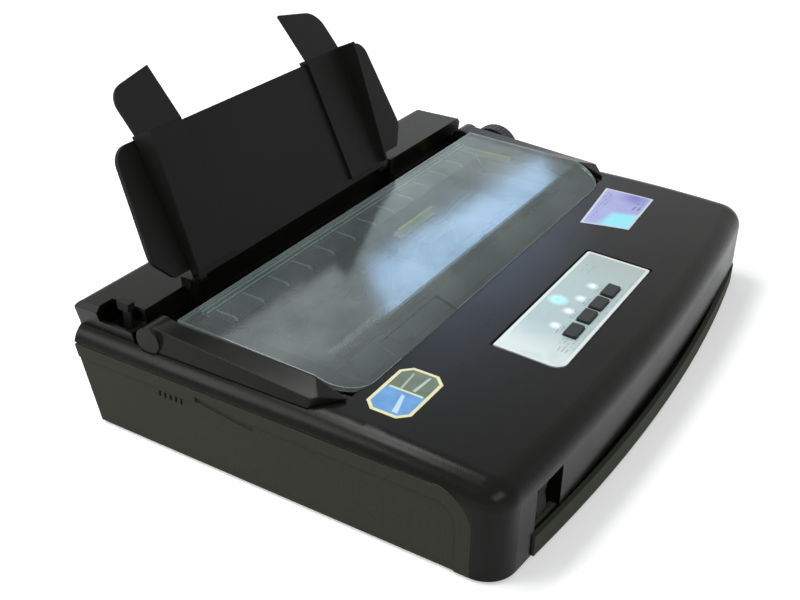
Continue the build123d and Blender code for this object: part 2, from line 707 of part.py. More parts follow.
def gear(teeth, at, tooth_angle, bore):
    """Add a gear of the train outside the left frame, centred on the (y, z) point."""
    side_plane = Plane(origin=(gear_left_x, at[0], at[1]), x_dir=(0, 1, 0), z_dir=(1, 0, 0))
    face = gear_face_sketch(teeth, side_plane,
                            tooth_angle)
    extrude(face, amount=gear_face)
    cross_rod(at, bore, (gear_left_x - 1, gear_right_x + 1), Mode.SUBTRACT)


# tooth angles that let each pair mesh: a tooth of one points at a gap of the other
platen_tooth = idler_angle
idler_tooth = idler_angle + 180 + 180 / idler_teeth
pinion_tooth = pinion_angle - 180
tractor_tooth = tractor_angle + 180 + 180 / tractor_teeth

# ---------------------------------------------------------------- platen
platen_x = frame_inner_x - 10.0
shaft_left_x = gear_left_x - 3.0

with BuildPart() as platen_shaft:
    cross_rod(platen_at, platen_shaft_radius, (shaft_left_x, knob_end_x - 1.5))
    chamfer(platen_shaft.edges().filter_by(GeomType.CIRCLE), 0.5)
finish(platen_shaft, "platen_shaft")

with BuildPart() as platen_roller:
    cross_rod(platen_at, platen_radius, (-platen_x, platen_x))
    chamfer(platen_roller.edges().filter_by(GeomType.CIRCLE), 0.6)
    cross_rod(platen_at, platen_shaft_radius + snug, (-platen_x - 1, platen_x + 1), Mode.SUBTRACT)
finish(platen_roller, "platen_roller")

with BuildPart() as platen_gear:
    gear(platen_teeth, platen_at, platen_tooth, platen_shaft_radius + snug)
    with Locations(Location((gear_left_x - 1, platen_at[0], platen_at[1]), (0, 90, 0))):
        with PolarLocations(10.5, 5):
            Cylinder(2.6, 2 * gear_face + 4, mode=Mode.SUBTRACT)
finish(platen_gear, "platen_gear")

knob_radius = knob_diameter / 2
knob_ribs = 36
with BuildPart() as platen_knob:
    cross_rod(platen_at, knob_radius, (knob_x, knob_end_x))
    fillet(platen_knob.edges().filter_by(GeomType.CIRCLE).sort_by(Axis.X)[-1], 1.5)
    # finger grooves round the rim
    with Locations(Location((knob_x + knob_length / 2, platen_at[0], platen_at[1]), (0, 90, 0))):
        with PolarLocations(knob_radius + 0.5, knob_ribs):
            Cylinder(1.1, knob_length + 2, mode=Mode.SUBTRACT)
    # shallow dish in the outer face
    cross_rod(platen_at, knob_radius - 5, (knob_end_x - 1, knob_end_x + 1), Mode.SUBTRACT)
    # hub that reaches into the side wall's hole
    cross_rod(platen_at, shaft_hole_radius - 1, (knob_x - 5, knob_x))
    cross_rod(platen_at, platen_shaft_radius + snug, (knob_x - 6, knob_end_x - 1.5), Mode.SUBTRACT)
finish(platen_knob, "platen_knob")

with BuildPart() as platen_bushes:
    for side in (-1, 1):
        cross_rod(platen_at, bush_radius, both(frame_inner_x, frame_x + 1.5, side))
        cross_rod(platen_at, bush_radius + 2, both(frame_inner_x - 1.4, frame_inner_x, side))
        cross_rod(platen_at, platen_shaft_radius + running,
                  both(frame_inner_x - 2, frame_x + 2, side), Mode.SUBTRACT)
finish(platen_bushes, "platen_bushes")

with BuildPart() as idler_gear:
    gear(idler_teeth, idler_at, idler_tooth, stud_radius + running)
    with Locations(Location((gear_left_x - 1, idler_at[0], idler_at[1]), (0, 90, 0))):
        with PolarLocations(11.0, 6):
            Cylinder(2.6, 2 * gear_face + 4, mode=Mode.SUBTRACT)
finish(idler_gear, "idler_gear")

feed_motor_radius = 14.0
feed_motor_x = (-frame_inner_x, -frame_inner_x + 20.0)
with BuildPart() as feed_motor:
    cross_rod(pinion_at, feed_motor_radius, feed_motor_x)
    chamfer(feed_motor.edges().filter_by(GeomType.CIRCLE), 0.8)
    cross_rod(pinion_at, motor_boss_radius - 0.5, (-frame_x, -frame_inner_x + 1))
    cross_rod(pinion_at, motor_shaft_radius + running, (-frame_x - 1, feed_motor_x[1] - 6),
              Mode.SUBTRACT)
finish(feed_motor, "feed_motor")

with BuildPart() as feed_pinion:
    gear(pinion_teeth, pinion_at, pinion_tooth, 0.5)
    cross_rod(pinion_at, motor_shaft_radius, (gear_left_x, feed_motor_x[1] - 6.5))
finish(feed_pinion, "feed_pinion")

# ---------------------------------------------------------------- tractor feed
tractor_width = 16.0
tractor_x = (-115.0, 60.0)
tractor_front_y = platen_y + 34.0
tractor_back_y = platen_y + 59.0
tractor_z = (base_z + 29.0, base_z + 52.0)
flap_thickness = 2.0
flap_gap = 2.2  # room for the paper and the pins under the flap
pin_pitch = 12.7
pin_height = 1.6
square_diagonal = tractor_shaft_side * math.sqrt(2) / 2

with BuildPart() as tractor_shaft:
    block((-frame_inner_x + 1, frame_inner_x - 1),
          (tractor_at[0] - tractor_shaft_side / 2, tractor_at[0] + tractor_shaft_side / 2),
          (tractor_at[1] - tractor_shaft_side / 2, tractor_at[1] + tractor_shaft_side / 2))
    cross_rod(tractor_at, journal_radius, (gear_left_x - 1, frame_x + 2))
finish(tractor_shaft, "tractor_shaft")

with BuildPart() as tractor_gear:
    gear(tractor_teeth, tractor_at, tractor_tooth, journal_radius + snug)
finish(tractor_gear, "tractor_gear")

with BuildPart() as tractor_rod:
    cross_rod(tractor_rod_at, tractor_rod_radius, (-frame_x - 1, frame_x + 1))
finish(tractor_rod, "tractor_rod")

flap_z = tractor_z[1] + flap_gap
flap_axis_z = flap_z + flap_thickness / 2
flap_pin_radius = 1.0


def build_tractor(middle_x, side):
    """One tractor: a body on the shaft and the rod, with two pins and the flap's lugs.

    side is -1 where the flap's hinge is on the left, and +1 where it is on the right.
    """
    x = (middle_x - tractor_width / 2, middle_x + tractor_width / 2)
    hinge_x = middle_x + side * (tractor_width / 2 - 1.6)
    with BuildPart() as body:
        with BuildSketch(Plane.YZ.offset(x[0])) as outline:
            with Locations(((tractor_front_y + tractor_back_y) / 2, (tractor_z[0] + tractor_z[1]) / 2)):
                RectangleRounded(tractor_back_y - tractor_front_y, tractor_z[1] - tractor_z[0], 6)
        extrude(outline.sketch, amount=tractor_width)
        cross_rod(tractor_at, square_diagonal + gap, (x[0] - 1, x[1] + 1), Mode.SUBTRACT)
        cross_rod(tractor_rod_at, tractor_rod_radius + running, (x[0] - 1, x[1] + 1), Mode.SUBTRACT)
        middle_y = (tractor_front_y + tractor_back_y) / 2
        for y in (middle_y - pin_pitch / 2, middle_y + pin_pitch / 2):
            rod("z", (middle_x - side * 3, y, tractor_z[1] - 1), 1.6, 1 + pin_height)
        for y in (tractor_front_y + 2.0, tractor_back_y - 5.0):
            block(sorted((hinge_x - side * 1.6, hinge_x + side * 1.6)), (y, y + 3),
                  (tractor_z[1] - 5, flap_axis_z))
            rod("y", (hinge_x, y, flap_axis_z), 1.6, 3)
            rod("y", (hinge_x, y - 1, flap_axis_z), flap_pin_radius + running, 5, Mode.SUBTRACT)
    return body


def build_flap(middle_x, side):
    """The flap over one tractor's pins, with its own hinge pin."""
    hinge_x = middle_x + side * (tractor_width / 2 - 1.6)
    free_x = middle_x - side * tractor_width / 2
    with BuildPart() as body:
        block(sorted((hinge_x - side * 1.9, free_x)), (tractor_front_y, tractor_back_y),
              (flap_z, flap_z + flap_thickness))
        block(sorted((hinge_x - side * 2.5, hinge_x)), (tractor_front_y + 5.3, tractor_back_y - 5.3),
              (flap_z, flap_z + flap_thickness))
        rod("y", (hinge_x, tractor_front_y + 2.0, flap_axis_z), flap_pin_radius,
            tractor_back_y - tractor_front_y - 4)
        # slot over the pins
        block(sorted((middle_x - side * 1, middle_x - side * 5)), (tractor_front_y + 3, tractor_back_y - 3),
              (flap_z - 1, flap_z + flap_thickness + 1), Mode.SUBTRACT)
    return body


for name, middle_x, side in (("left", tractor_x[0], -1), ("right", tractor_x[1], 1)):
    finish(build_tractor(middle_x, side), f"tractor_{name}")
    finish(build_flap(middle_x, side), f"tractor_flap_{name}")

# ---------------------------------------------------------------- paper pan and pressure rollers
pan_radius = platen_radius + 1.5
pan_sheet = 1.0
pan_x = (-platen_x + 15.0, platen_x - 10.0)
roller_places = (-100.0, -35.0, 35.0, 100.0)
roller_width = 20.0

with BuildPart() as paper_pan:
    with BuildSketch(Plane.YZ.offset(pan_x[0])) as arc:
        with BuildLine():
            CenterArc(platen_at, pan_radius, 210, 120)
            CenterArc(platen_at, pan_radius + pan_sheet, 210, 120)
            Line(polar(platen_at, pan_radius, 210), polar(platen_at, pan_radius + pan_sheet, 210))
            Line(polar(platen_at, pan_radius, 330), polar(platen_at, pan_radius + pan_sheet, 330))
        make_face()
    extrude(arc.sketch, amount=pan_x[1] - pan_x[0])
    for x in roller_places:
        cross_rod(roller_at, roller_radius + 0.8, (x - roller_width / 2 - 1, x + roller_width / 2 + 1),
                  Mode.SUBTRACT)
    cross_rod(roller_at, roller_shaft_radius + gap, (pan_x[0] - 1, pan_x[1] + 1), Mode.SUBTRACT)
    # webs that carry the pan on the base plate
    for x in (-125.0, -68.0, 0.0, 68.0, 125.0):
        block((x - 1, x + 1), (platen_y - 5, platen_y + 9), (plate_top_z, platen_z - pan_radius))
        block((x - 6, x + 6), (platen_y - 5, platen_y + 9), (plate_top_z, plate_top_z + 1.2))
    cross_rod(platen_at, pan_radius, (pan_x[0] - 1, pan_x[1] + 1), Mode.SUBTRACT)
finish(paper_pan, "paper_pan")

with BuildPart() as pressure_rollers:
    cross_rod(roller_at, roller_shaft_radius, (-frame_x - 1, frame_x + 1))
    for x in roller_places:
        cross_rod(roller_at, roller_radius, (x - roller_width / 2, x + roller_width / 2))
finish(pressure_rollers, "pressure_rollers")

# ---------------------------------------------------------------- carriage
carriage_rest_x = 31.0
carriage_half = 24.0
head_half = 19.0
nose_half = 4.0
nose_y = ribbon_y - 0.6
shaft_y = carriage_shaft_at[0]
head_back_y = shaft_y + 22.0
belt_inner = pulley_radius + gap
belt_outer = belt_inner + belt_thickness
clamp_y = (belt_y + belt_inner - gap, belt_y + belt_outer + gap)

with BuildPart() as carriage:
    at_x = (carriage_rest_x - carriage_half, carriage_rest_x + carriage_half)
    block(at_x, (shaft_y - 12, head_back_y), (base_z + 18, base_z + 42))
    chamfer(carriage.edges().filter_by(Axis.X), 2.0)
    # hollow under the head, with a web left round the shaft
    block((at_x[0] + 3, at_x[1] - 3), (shaft_y + 9, head_back_y - 3), (base_z + 17, base_z + 38),
          Mode.SUBTRACT)
    # arm that clamps the belt
    block((carriage_rest_x - 8, carriage_rest_x + 8), (belt_y + 2.5, shaft_y - 10),
          (base_z + 31, base_z + 42))
    block((carriage_rest_x - 9, carriage_rest_x + 9), clamp_y, (base_z + 30, belt_z + belt_height + gap),
          Mode.SUBTRACT)
    # foot that rides on the front rail
    block((carriage_rest_x - 10, carriage_rest_x + 10), (rail_y - 3, shaft_y - 11),
          (rail_top_z + gap, base_z + 27))
    block((carriage_rest_x - 10, carriage_rest_x + 10), (rail_y - 3, rail_y + 3),
          (rail_top_z - 4, base_z + 27))
    block((carriage_rest_x - 11, carriage_rest_x + 11),
          (rail_y - rail_sheet / 2 - gap, rail_y + rail_sheet / 2 + gap),
          (rail_top_z - 5, rail_top_z + gap), Mode.SUBTRACT)
    cross_rod(carriage_shaft_at, carriage_shaft_radius + running, (at_x[0] - 1, at_x[1] + 1),
              Mode.SUBTRACT)
finish(carriage, "carriage")

fin_count = 9
fin_pitch = 2.6
with BuildPart() as print_head:
    head_x = (carriage_rest_x - head_half, carriage_rest_x + head_half)
    block(head_x, (shaft_y - 6, head_back_y), (base_z + 42, base_z + 60))
    chamfer(print_head.edges().filter_by(Axis.Z), 2.5)
    # cooling slots from side to side
    for i in range(fin_count):
        y = shaft_y - 4.5 + i * fin_pitch
        for side in (-1, 1):
            low = carriage_rest_x + side * 8
            high = carriage_rest_x + side * (head_half + 1)
            block(sorted((low, high)), (y, y + 1.2), (base_z + 45, base_z + 61), Mode.SUBTRACT)
    # nose that carries the wires to the ribbon
    plan_prism([(carriage_rest_x - 10, head_back_y - 0.5), (carriage_rest_x - nose_half, nose_y),
                (carriage_rest_x + nose_half, nose_y), (carriage_rest_x + 10, head_back_y - 0.5)],
               (base_z + 48, base_z + 56))
finish(print_head, "print_head")

with BuildPart() as head_tab:
    tab_x = (carriage_rest_x - 23, carriage_rest_x + 23)
    block(tab_x, (head_back_y - 6.5, head_back_y - 0.5), (base_z + 60, base_z + 62))
    block(tab_x, (head_back_y - 5.5, head_back_y - 3.5), (base_z + 62, base_z + 66))
finish(head_tab, "head_tab")

carriage_motor_top_z = base_z + 30.0
with BuildPart() as carriage_motor:
    rod("z", (-pulley_x, belt_y, plate_top_z), carriage_motor_radius, carriage_motor_top_z - plate_top_z)
    chamfer(carriage_motor.edges().filter_by(GeomType.CIRCLE), 0.8)
    rod("z", (-pulley_x, belt_y, plate_top_z + 4), motor_shaft_radius + running, 40, Mode.SUBTRACT)
finish(carriage_motor, "carriage_motor")


def build_pulley(x, shaft_z):
    """Belt pulley with two flanges and its own shaft reaching down to shaft_z."""
    with BuildPart() as body:
        rod("z", (x, belt_y, belt_z - 0.5), pulley_radius, belt_height + 1)
        rod("z", (x, belt_y, belt_z - 1.5), pulley_radius + 2, 1.2)
        rod("z", (x, belt_y, belt_z + belt_height + 0.3), pulley_radius + 2, 1.2)
        rod("z", (x, belt_y, shaft_z), motor_shaft_radius, belt_z + belt_height + 2 - shaft_z)
    return body


finish(build_pulley(-pulley_x, plate_top_z + 4.3), "drive_pulley")
finish(build_pulley(pulley_x, plate_top_z + 2.3), "idler_pulley")

with BuildPart() as timing_belt:
    with BuildSketch(Plane.XY.offset(belt_z)) as loop:
        with Locations((0, belt_y)):
            SlotCenterToCenter(2 * pulley_x, 2 * belt_outer)
            SlotCenterToCenter(2 * pulley_x, 2 * belt_inner, mode=Mode.SUBTRACT)
    extrude(loop.sketch, amount=belt_height)
finish(timing_belt, "timing_belt")

# ---------------------------------------------------------------- ribbon
arm_x = cartridge_half - cartridge_arm
ribbon_knob_at = (-100.0, (cartridge_front_y + cartridge_back_y) / 2)
with BuildPart() as ribbon_cartridge:
    block((-cartridge_half, cartridge_half), (cartridge_front_y, cartridge_back_y),
          (cartridge_z, cartridge_top_z))
    for side in (-1, 1):
        plan_prism([(side * cartridge_half, cartridge_back_y - 1), (side * arm_x, cartridge_back_y - 1),
                    (side * arm_x, ribbon_y), (side * (arm_x + 3), ribbon_y),
                    (side * cartridge_half, ribbon_y - 18)],
                   (cartridge_z + 4, cartridge_top_z + 2))
        cross_rod(cartridge_pin_at, 2.5, both(cartridge_half - 1, frame_x, side))
    # raised rim of the lid, and the bore of the ribbon's knob
    block((-cartridge_half + 4, cartridge_half - 4), (cartridge_front_y + 3, cartridge_back_y - 3),
          (cartridge_top_z - 1, cartridge_top_z + 0.8))
    rod("z", (*ribbon_knob_at, cartridge_top_z - 7), 2.0 + running, 10, Mode.SUBTRACT)
finish(ribbon_cartridge, "ribbon_cartridge")

with BuildPart() as ribbon:
    block((-arm_x - 2, arm_x + 2), (ribbon_y, ribbon_y + ribbon_thickness),
          (cartridge_z + 5.5, cartridge_top_z + 1.5))
finish(ribbon, "ribbon")

with BuildPart() as ribbon_knob:
    rod("z", (*ribbon_knob_at, cartridge_top_z + 0.8 + gap), 8.0, 3.4)
    with Locations((*ribbon_knob_at, cartridge_top_z + 3)):
        with PolarLocations(8.2, 12):
            Cylinder(1.0, 8, mode=Mode.SUBTRACT)
    rod("z", (*ribbon_knob_at, cartridge_top_z - 6), 2.0, 8)
finish(ribbon_knob, "ribbon_knob")

# ---------------------------------------------------------------- boards
cable_y = panel_y + 25.0  # the flat cable hangs from the back of the key board
with BuildPart() as main_board:
    block(main_board_x, board_y, (board_z, board_z + board_sheet))
    top = board_z + board_sheet
    # chips in sockets
    left = main_board_x[0]
    front = board_y[0]
    for x, y, width, depth in ((30, 23, 14, 36), (55, 23, 14, 36), (80, 23, 14, 30), (125, 20, 20, 20),
                               (195, 23, 12, 24)):
        block((left + x - width / 2, left + x + width / 2), (front + y - depth / 2, front + y + depth / 2),
              (top, top + 4))
    # connectors along the back edge
    for x in (20, 60, 100, 205):
        block((left + x - 10, left + x + 10), (board_y[1] - 8, board_y[1] - 2), (top, top + 7))
    # drive transistors in a row
    for i in range(6):
        x = left + 130 + i * 12
        block((x - 4, x + 4), (board_y[1] - 22, board_y[1] - 18), (top, top + 14))
    # connector of the key board's cable
    block((-16, 16), (cable_y - 3, cable_y + 3), (top, top + 6))
finish(main_board, "main_board")

with BuildPart() as power_board:
    block(power_board_x, board_y, (board_z, board_z + board_sheet))
    top = board_z + board_sheet
    # transformer with its laminated core
    left = power_board_x[0]
    front = board_y[0]
    block((left + 17, left + 55), (front + 10, front + 44), (top, top + 26))
    block((left + 13, left + 59), (front + 16, front + 38), (top + 4, top + 22))
    # smoothing capacitors
    for x, y, radius, height in ((73, 18, 8, 26), (73, 38, 8, 26), (25, 58, 6, 18)):
        rod("z", (left + x, front + y, top), radius, height)
    # heat sink with fins
    block((left + 15, left + 85), (front + 70, front + 72), (top, top + 24))
    for i in range(8):
        x = left + 19 + i * 9
        block((x - 0.8, x + 0.8), (front + 71.5, front + 82), (top, top + 24))
finish(power_board, "power_board")

key_board_sheet = 1.6
with BuildPart() as key_board:
    with BuildSketch(panel_plane.offset(-key_board_drop - key_board_sheet)) as board:
        Rectangle(132, 38)
    extrude(board.sketch, amount=key_board_sheet)
    # key domes under the plungers
    with BuildSketch(panel_plane.offset(-key_board_drop - 0.1)) as domes:
        with Locations(*[(x, key_row) for x in key_places]):
            RectangleRounded(8, 6, 1)
    extrude(domes.sketch, amount=1.1)
finish(key_board, "key_board")

cable_sheet = 0.8
with BuildPart() as flat_cable:
    cable_low_z = board_z + board_sheet + 6
    cable_high_z = panel_z - key_board_drop - key_board_sheet - 1.2
    block((-14, 14), (cable_y - cable_sheet / 2, cable_y + cable_sheet / 2), (cable_low_z, cable_high_z))
    block((-14, 14), (cable_y - 15, cable_y + cable_sheet / 2), (cable_high_z - cable_sheet, cable_high_z))
    block((-15, 15), (cable_y - 17, cable_y - 11), (cable_high_z - 1, cable_high_z + 0.4))
finish(flat_cable, "flat_cable")

# ---------------------------------------------------------------- sockets at the back
with BuildPart() as power_inlet:
    with BuildSketch(rake_plane(inlet_x)) as flange:
        RectangleRounded(inlet_width + 6, inlet_height + 4, 2)
    extrude(flange.sketch, amount=1.5)
    with BuildSketch(rake_plane(inlet_x).offset(-10)) as inlet_body:
        Rectangle(inlet_width, inlet_height)
    extrude(inlet_body.sketch, amount=10.5)
    with BuildSketch(rake_plane(inlet_x).offset(-8.5)) as cavity:
        RectangleRounded(inlet_width - 3, inlet_height - 4, 3)
    extrude(cavity.sketch, amount=12, mode=Mode.SUBTRACT)
    with BuildSketch(rake_plane(inlet_x).offset(-9)) as pins:
        with Locations((-7, -1.5), (7, -1.5), (0, 2.5)):
            Rectangle(2, 4)
    extrude(pins.sketch, amount=4.5)
finish(power_inlet, "power_inlet")

with BuildPart() as data_sockets:
    with BuildSketch(rake_plane(socket_x)) as socket_flange:
        RectangleRounded(socket_width + 6, socket_height + 4, 2)
    extrude(socket_flange.sketch, amount=1.2)
    with BuildSketch(rake_plane(socket_x).offset(-9)) as socket_body:
        Rectangle(socket_width, socket_height)
    extrude(socket_body.sketch, amount=9.5)
    with BuildSketch(rake_plane(socket_x).offset(1)) as shell:
        Trapezoid(46, 9, 80)
    extrude(shell.sketch, amount=4)
    # rows of contact holes
    with BuildSketch(rake_plane(socket_x).offset(2)) as contacts:
        with Locations((0, 1.6)):
            with GridLocations(2.8, 1, 13, 1):
                Circle(0.6)
        with Locations((0, -1.4)):
            with GridLocations(2.8, 1, 12, 1):
                Circle(0.6)
    extrude(contacts.sketch, amount=4, mode=Mode.SUBTRACT)
finish(data_sockets, "data_sockets")

# ---------------------------------------------------------------- power switch
with BuildPart() as power_switch:
    half = rocker_height / 2
    face_y = rocker_at[0] - 8.5
    side_prism([(face_y, rocker_at[1] - half + 1), (face_y + 1.6, rocker_at[1]),
                (face_y, rocker_at[1] + half - 1), (rocker_at[0] - 3, rocker_at[1] + half),
                (rocker_at[0] + 2, rocker_at[1] + 4), (rocker_at[0] + 2, rocker_at[1] - 4),
                (rocker_at[0] - 3, rocker_at[1] - half)],
               (rocker_x - rocker_width / 2, rocker_x + rocker_width / 2))
    cross_rod(rocker_at, rocker_pin_radius,
              (rocker_x - rocker_width / 2 - 2.8, rocker_x + rocker_width / 2 + 2.8))
finish(power_switch, "power_switch")

# ---------------------------------------------------------------- control panel
with BuildPart() as control_panel:
    extrude(on_panel(panel_outline(0, panel_corner), panel_recess), amount=panel_sheet)
    for x in key_places:
        with BuildSketch(panel_plane.offset(-panel_recess - 1)) as plate_key_hole:
            with Locations((x, key_row)):
                Rectangle(key_width + 2 * gap, key_depth + 2 * gap)
        extrude(plate_key_hole.sketch, amount=5, mode=Mode.SUBTRACT)
        with BuildSketch(panel_plane.offset(-panel_recess - 1)) as plate_lamp_hole:
            with Locations((x, lamp_row)):
                Circle(lamp_radius + running)
        extrude(plate_lamp_hole.sketch, amount=5, mode=Mode.SUBTRACT)
    with BuildSketch(panel_plane.offset(-panel_recess - 1)) as plate_power_hole:
        with Locations(power_lamp_at):
            Circle(power_lamp_radius + running)
    extrude(plate_power_hole.sketch, amount=5, mode=Mode.SUBTRACT)
finish(control_panel, "control_panel")

key_top = 1.6  # the keys stand this proud of the glossy top
for number, x in enumerate(key_places, start=1):
    with BuildPart() as key:
        with BuildSketch(panel_plane.offset(-5)) as cap:
            with Locations((x, key_row)):
                RectangleRounded(key_width, key_depth, 1.2)
        extrude(cap.sketch, amount=5 + key_top)
        rim = key.edges().filter_by(lambda e: panel_plane.to_local_coords(e.center()).Z > key_top - 0.1)
        fillet(rim, 0.7)
        # plunger that presses the dome, and a rim that keeps the key in its hole
        with BuildSketch(panel_plane.offset(-5.5)) as rim_face:
            with Locations((x, key_row)):
                Rectangle(key_width + 2, key_depth + 2)
        extrude(rim_face.sketch, amount=1.0)
        with BuildSketch(panel_plane.offset(-key_board_drop + 1 + key_travel + 0.2)) as plunger:
            with Locations((x, key_row)):
                Circle(1.8)
        extrude(plunger.sketch, amount=key_board_drop - 1 - key_travel - 0.2 - 5.2)
    finish(key, f"key_{number}")

with BuildPart() as status_lamps:
    with BuildSketch(panel_plane.offset(-key_board_drop)) as lamps:
        with Locations(*[(x, lamp_row) for x in key_places]):
            Circle(lamp_radius)
    extrude(lamps.sketch, amount=key_board_drop)
finish(status_lamps, "status_lamps")

with BuildPart() as power_lamp:
    with BuildSketch(panel_plane.offset(-key_board_drop)) as ring:
        with Locations(power_lamp_at):
            Circle(power_lamp_radius)
            Circle(power_lamp_radius - 1.3, mode=Mode.SUBTRACT)
    extrude(ring.sketch, amount=key_board_drop)
finish(power_lamp, "power_lamp")

# ---------------------------------------------------------------- cover
window_bend = [
    (cover_front_y, top_z + 0.4),
    (cover_front_y + 15.0, top_z + 5.6),
    (cover_front_y + 24.0, top_z + 9.2),
    (window_back_y, top_z + 13.0),
]


def window_points(drop):
    """The window's side profile moved square to itself by drop, as (y, z) points."""
    points = []
    for i, here in enumerate(window_bend):
        ends = window_bend[max(i - 1, 0)], window_bend[min(i + 1, len(window_bend) - 1)]
        run = (ends[1][0] - ends[0][0], ends[1][1] - ends[0][1])
        length = math.hypot(*run)
        points.append((here[0] + drop * run[1] / length, here[1] - drop * run[0] / length))
    return points


grip_x = (-126.0, -60.0)
grip_depth = 0.8
with BuildPart() as cover_window:
    with BuildSketch(Plane.YZ.offset(-cover_x)) as profile:
        with BuildLine():
            Polyline(*window_points(0), *reversed(window_points(window_thickness)), close=True)
        make_face()
        fillet(profile.vertices().sort_by(Axis.Y)[2:6], 5.0)
    extrude(profile.sketch, amount=2 * cover_x)
    # finger grip: a shallow step in the sloping front band
    side_prism(window_points(-1)[:2] + window_points(grip_depth)[1::-1], grip_x, Mode.SUBTRACT)
    extrude(window_plan(0).moved(Location((0, 0, base_z))), amount=body_depth, mode=Mode.INTERSECT)
finish(cover_window, "cover_window")

# the end fairings: sloping ridge outside, and a barrel round the hinge at the rear
fairing_front_y = cover_front_y - 1.0
ridge_inset = 3.0
ridge_rise = 8.0 / 108.0  # the ridge rises towards the rear by this much per millimetre
inner_rise = 3.0 / 108.0
cover_travel = 52.0  # degrees
slot_angles = (-60.0, cover_travel)  # seen from the hinge, where the case's ear passes through the barrel
# the platen's gear as seen from the hinge: how far and in which direction
gear_distance = math.hypot(platen_at[0] - hinge_at[0], platen_at[1] - hinge_at[1])
gear_bearing = math.degrees(math.atan2(platen_at[1] - hinge_at[1], platen_at[0] - hinge_at[0]))


def fairing_section(y, side, inset):
    """Cross-section of an end fairing at y: inner edge, ridge and foot, moved in by inset."""
    back = hinge_at[0] - y
    ridge_z = hinge_at[1] + barrel_radius - back * ridge_rise - inset
    inner_z = hinge_at[1] + barrel_radius - 1.0 - back * inner_rise - inset
    low_z = top_z - 6 - inset
    with BuildSketch(Plane.XZ.offset(-y)) as section:
        with BuildLine():
            Polyline((side * (cover_x + inset), low_z), (side * (cover_x + inset), inner_z),
                     (side * (fairing_foot_x - ridge_inset - inset * 0.6), ridge_z),
                     (side * (fairing_foot_x - inset), low_z), close=True)
        make_face()
    return section.sketch


def build_fairing(side):
    """One end fairing of the cover: hollow, open below, with its hinge barrel."""
    outer_x = both(cover_x, fairing_foot_x, side)
    inner_x = both(cover_x + cover_wall, fairing_foot_x - cover_wall, side)
    slot_x = both(ear_x[0] - 0.5, ear_x[1] + 0.5, side)
    with BuildPart() as body:
        loft([fairing_section(fairing_front_y, side, 0), fairing_section(hinge_at[0], side, 0)],
             ruled=True)
        # the front end slopes down like the window, and runs back towards the outside
        air_y = fairing_front_y - 12.0
        window_line = [(y, z + 0.4) for y, z in reversed(window_points(0)[:3])]
        side_prism([(cover_front_y + 30.0, deck_z + 10), *window_line, (air_y, top_z - 4),
                    (air_y, deck_z + 10)], (-side_x, side_x), Mode.SUBTRACT)
        plan_prism([(side * (side_x - 5), cover_front_y + 20.0), (side * (cover_x - 1), cover_front_y + 2.0),
                    (side * (cover_x - 1), air_y), (side * (side_x + 5), air_y),
                    (side * (side_x + 5), cover_front_y + 20.0)], (base_z, deck_z + 10), Mode.SUBTRACT)
        loft([fairing_section(cover_front_y + 22.0, side, cover_wall),
              fairing_section(hinge_at[0] + 1, side, cover_wall)], ruled=True, mode=Mode.SUBTRACT)
        add(hood(-gap), mode=Mode.SUBTRACT)
        cross_rod(hinge_at, barrel_radius, outer_x)
        cross_rod(hinge_at, barrel_radius - cover_wall, inner_x, Mode.SUBTRACT)
        if side < 0:
            # room for the platen's gear, which stands above the case there, also while the cover opens
            gear_x = (gear_left_x - 1, -cover_x + 1)
            gear_way = [polar(hinge_at, gear_distance, gear_bearing + share * cover_travel)
                        for share in (0, 1 / 3, 2 / 3, 1)]
            for place in gear_way:
                cross_rod(place, gear_module * platen_teeth / 2 + 2.0, gear_x, Mode.SUBTRACT)
            side_prism([hinge_at, *gear_way], gear_x, Mode.SUBTRACT)
        # slot in the barrel for the case's ear
        fan = [hinge_at] + [
            polar(hinge_at, 2 * barrel_radius, slot_angles[0] + share * (slot_angles[1] - slot_angles[0]))
            for share in (0, 1 / 3, 2 / 3, 1)
        ]
        side_prism(fan, slot_x, Mode.SUBTRACT)
    return body


finish(build_fairing(-1), "cover_end_left")
finish(build_fairing(1), "cover_end_right")

with BuildPart() as cover_hinge_pins:
    for side in (-1, 1):
        cross_rod(hinge_at, hinge_pin_radius,
                  both(cover_x + cover_wall, fairing_foot_x - cover_wall, side))
finish(cover_hinge_pins, "cover_hinge_pins")

separator_y = (window_back_y - 25.0, window_back_y - 1.0)
separator_half = cover_x - 19.0
separator_ribs = 13
rib_pitch = 25.0
rib_height = 4.0
rib_width = 2.0


def window_under_z(y):
    """Height of the window's underside over its straight rear part."""
    front, rear = window_points(window_thickness)[2:]
    return front[1] + (rear[1] - front[1]) * (y - front[0]) / (rear[0] - front[0])


with BuildPart() as paper_separator:
    near, far = separator_y
    side_prism([(near, window_under_z(near)), (far, window_under_z(far)),
                (far, window_under_z(far) - 1), (near, window_under_z(near) - 1)],
               (-separator_half, separator_half))
    rib_foot_z = window_under_z(far) - 1 - rib_height
    for i in range(separator_ribs):
        x = (i - (separator_ribs - 1) / 2) * rib_pitch
        side_prism([(near + 1, window_under_z(near) - 0.5), (far, window_under_z(far) - 0.5),
                    (far, rib_foot_z), (far - 8, rib_foot_z)],
                   (x - rib_width / 2, x + rib_width / 2))
finish(paper_separator, "paper_separator")

# ---------------------------------------------------------------- sheet guide
lean = math.radians(sheet_guide_lean)
sheet_foot_at = (sheet_pivot_at[0] - 3.0, deck_z + 6.0)
sheet_thickness = 3.0
sheet_plane = Plane(origin=(sheet_x, *sheet_foot_at), x_dir=(1, 0, 0),
                    z_dir=(0, -math.cos(lean), math.sin(lean)))
sheet_low_v = -2.0
sheet_wide_v = 20.0


def sheet_point(v, depth):
    """The (y, z) point at a height v along the guide and a depth behind its front face."""
    return (sheet_foot_at[0] + v * math.sin(lean) + depth * math.cos(lean),
            sheet_foot_at[1] + v * math.cos(lean) - depth * math.sin(lean))


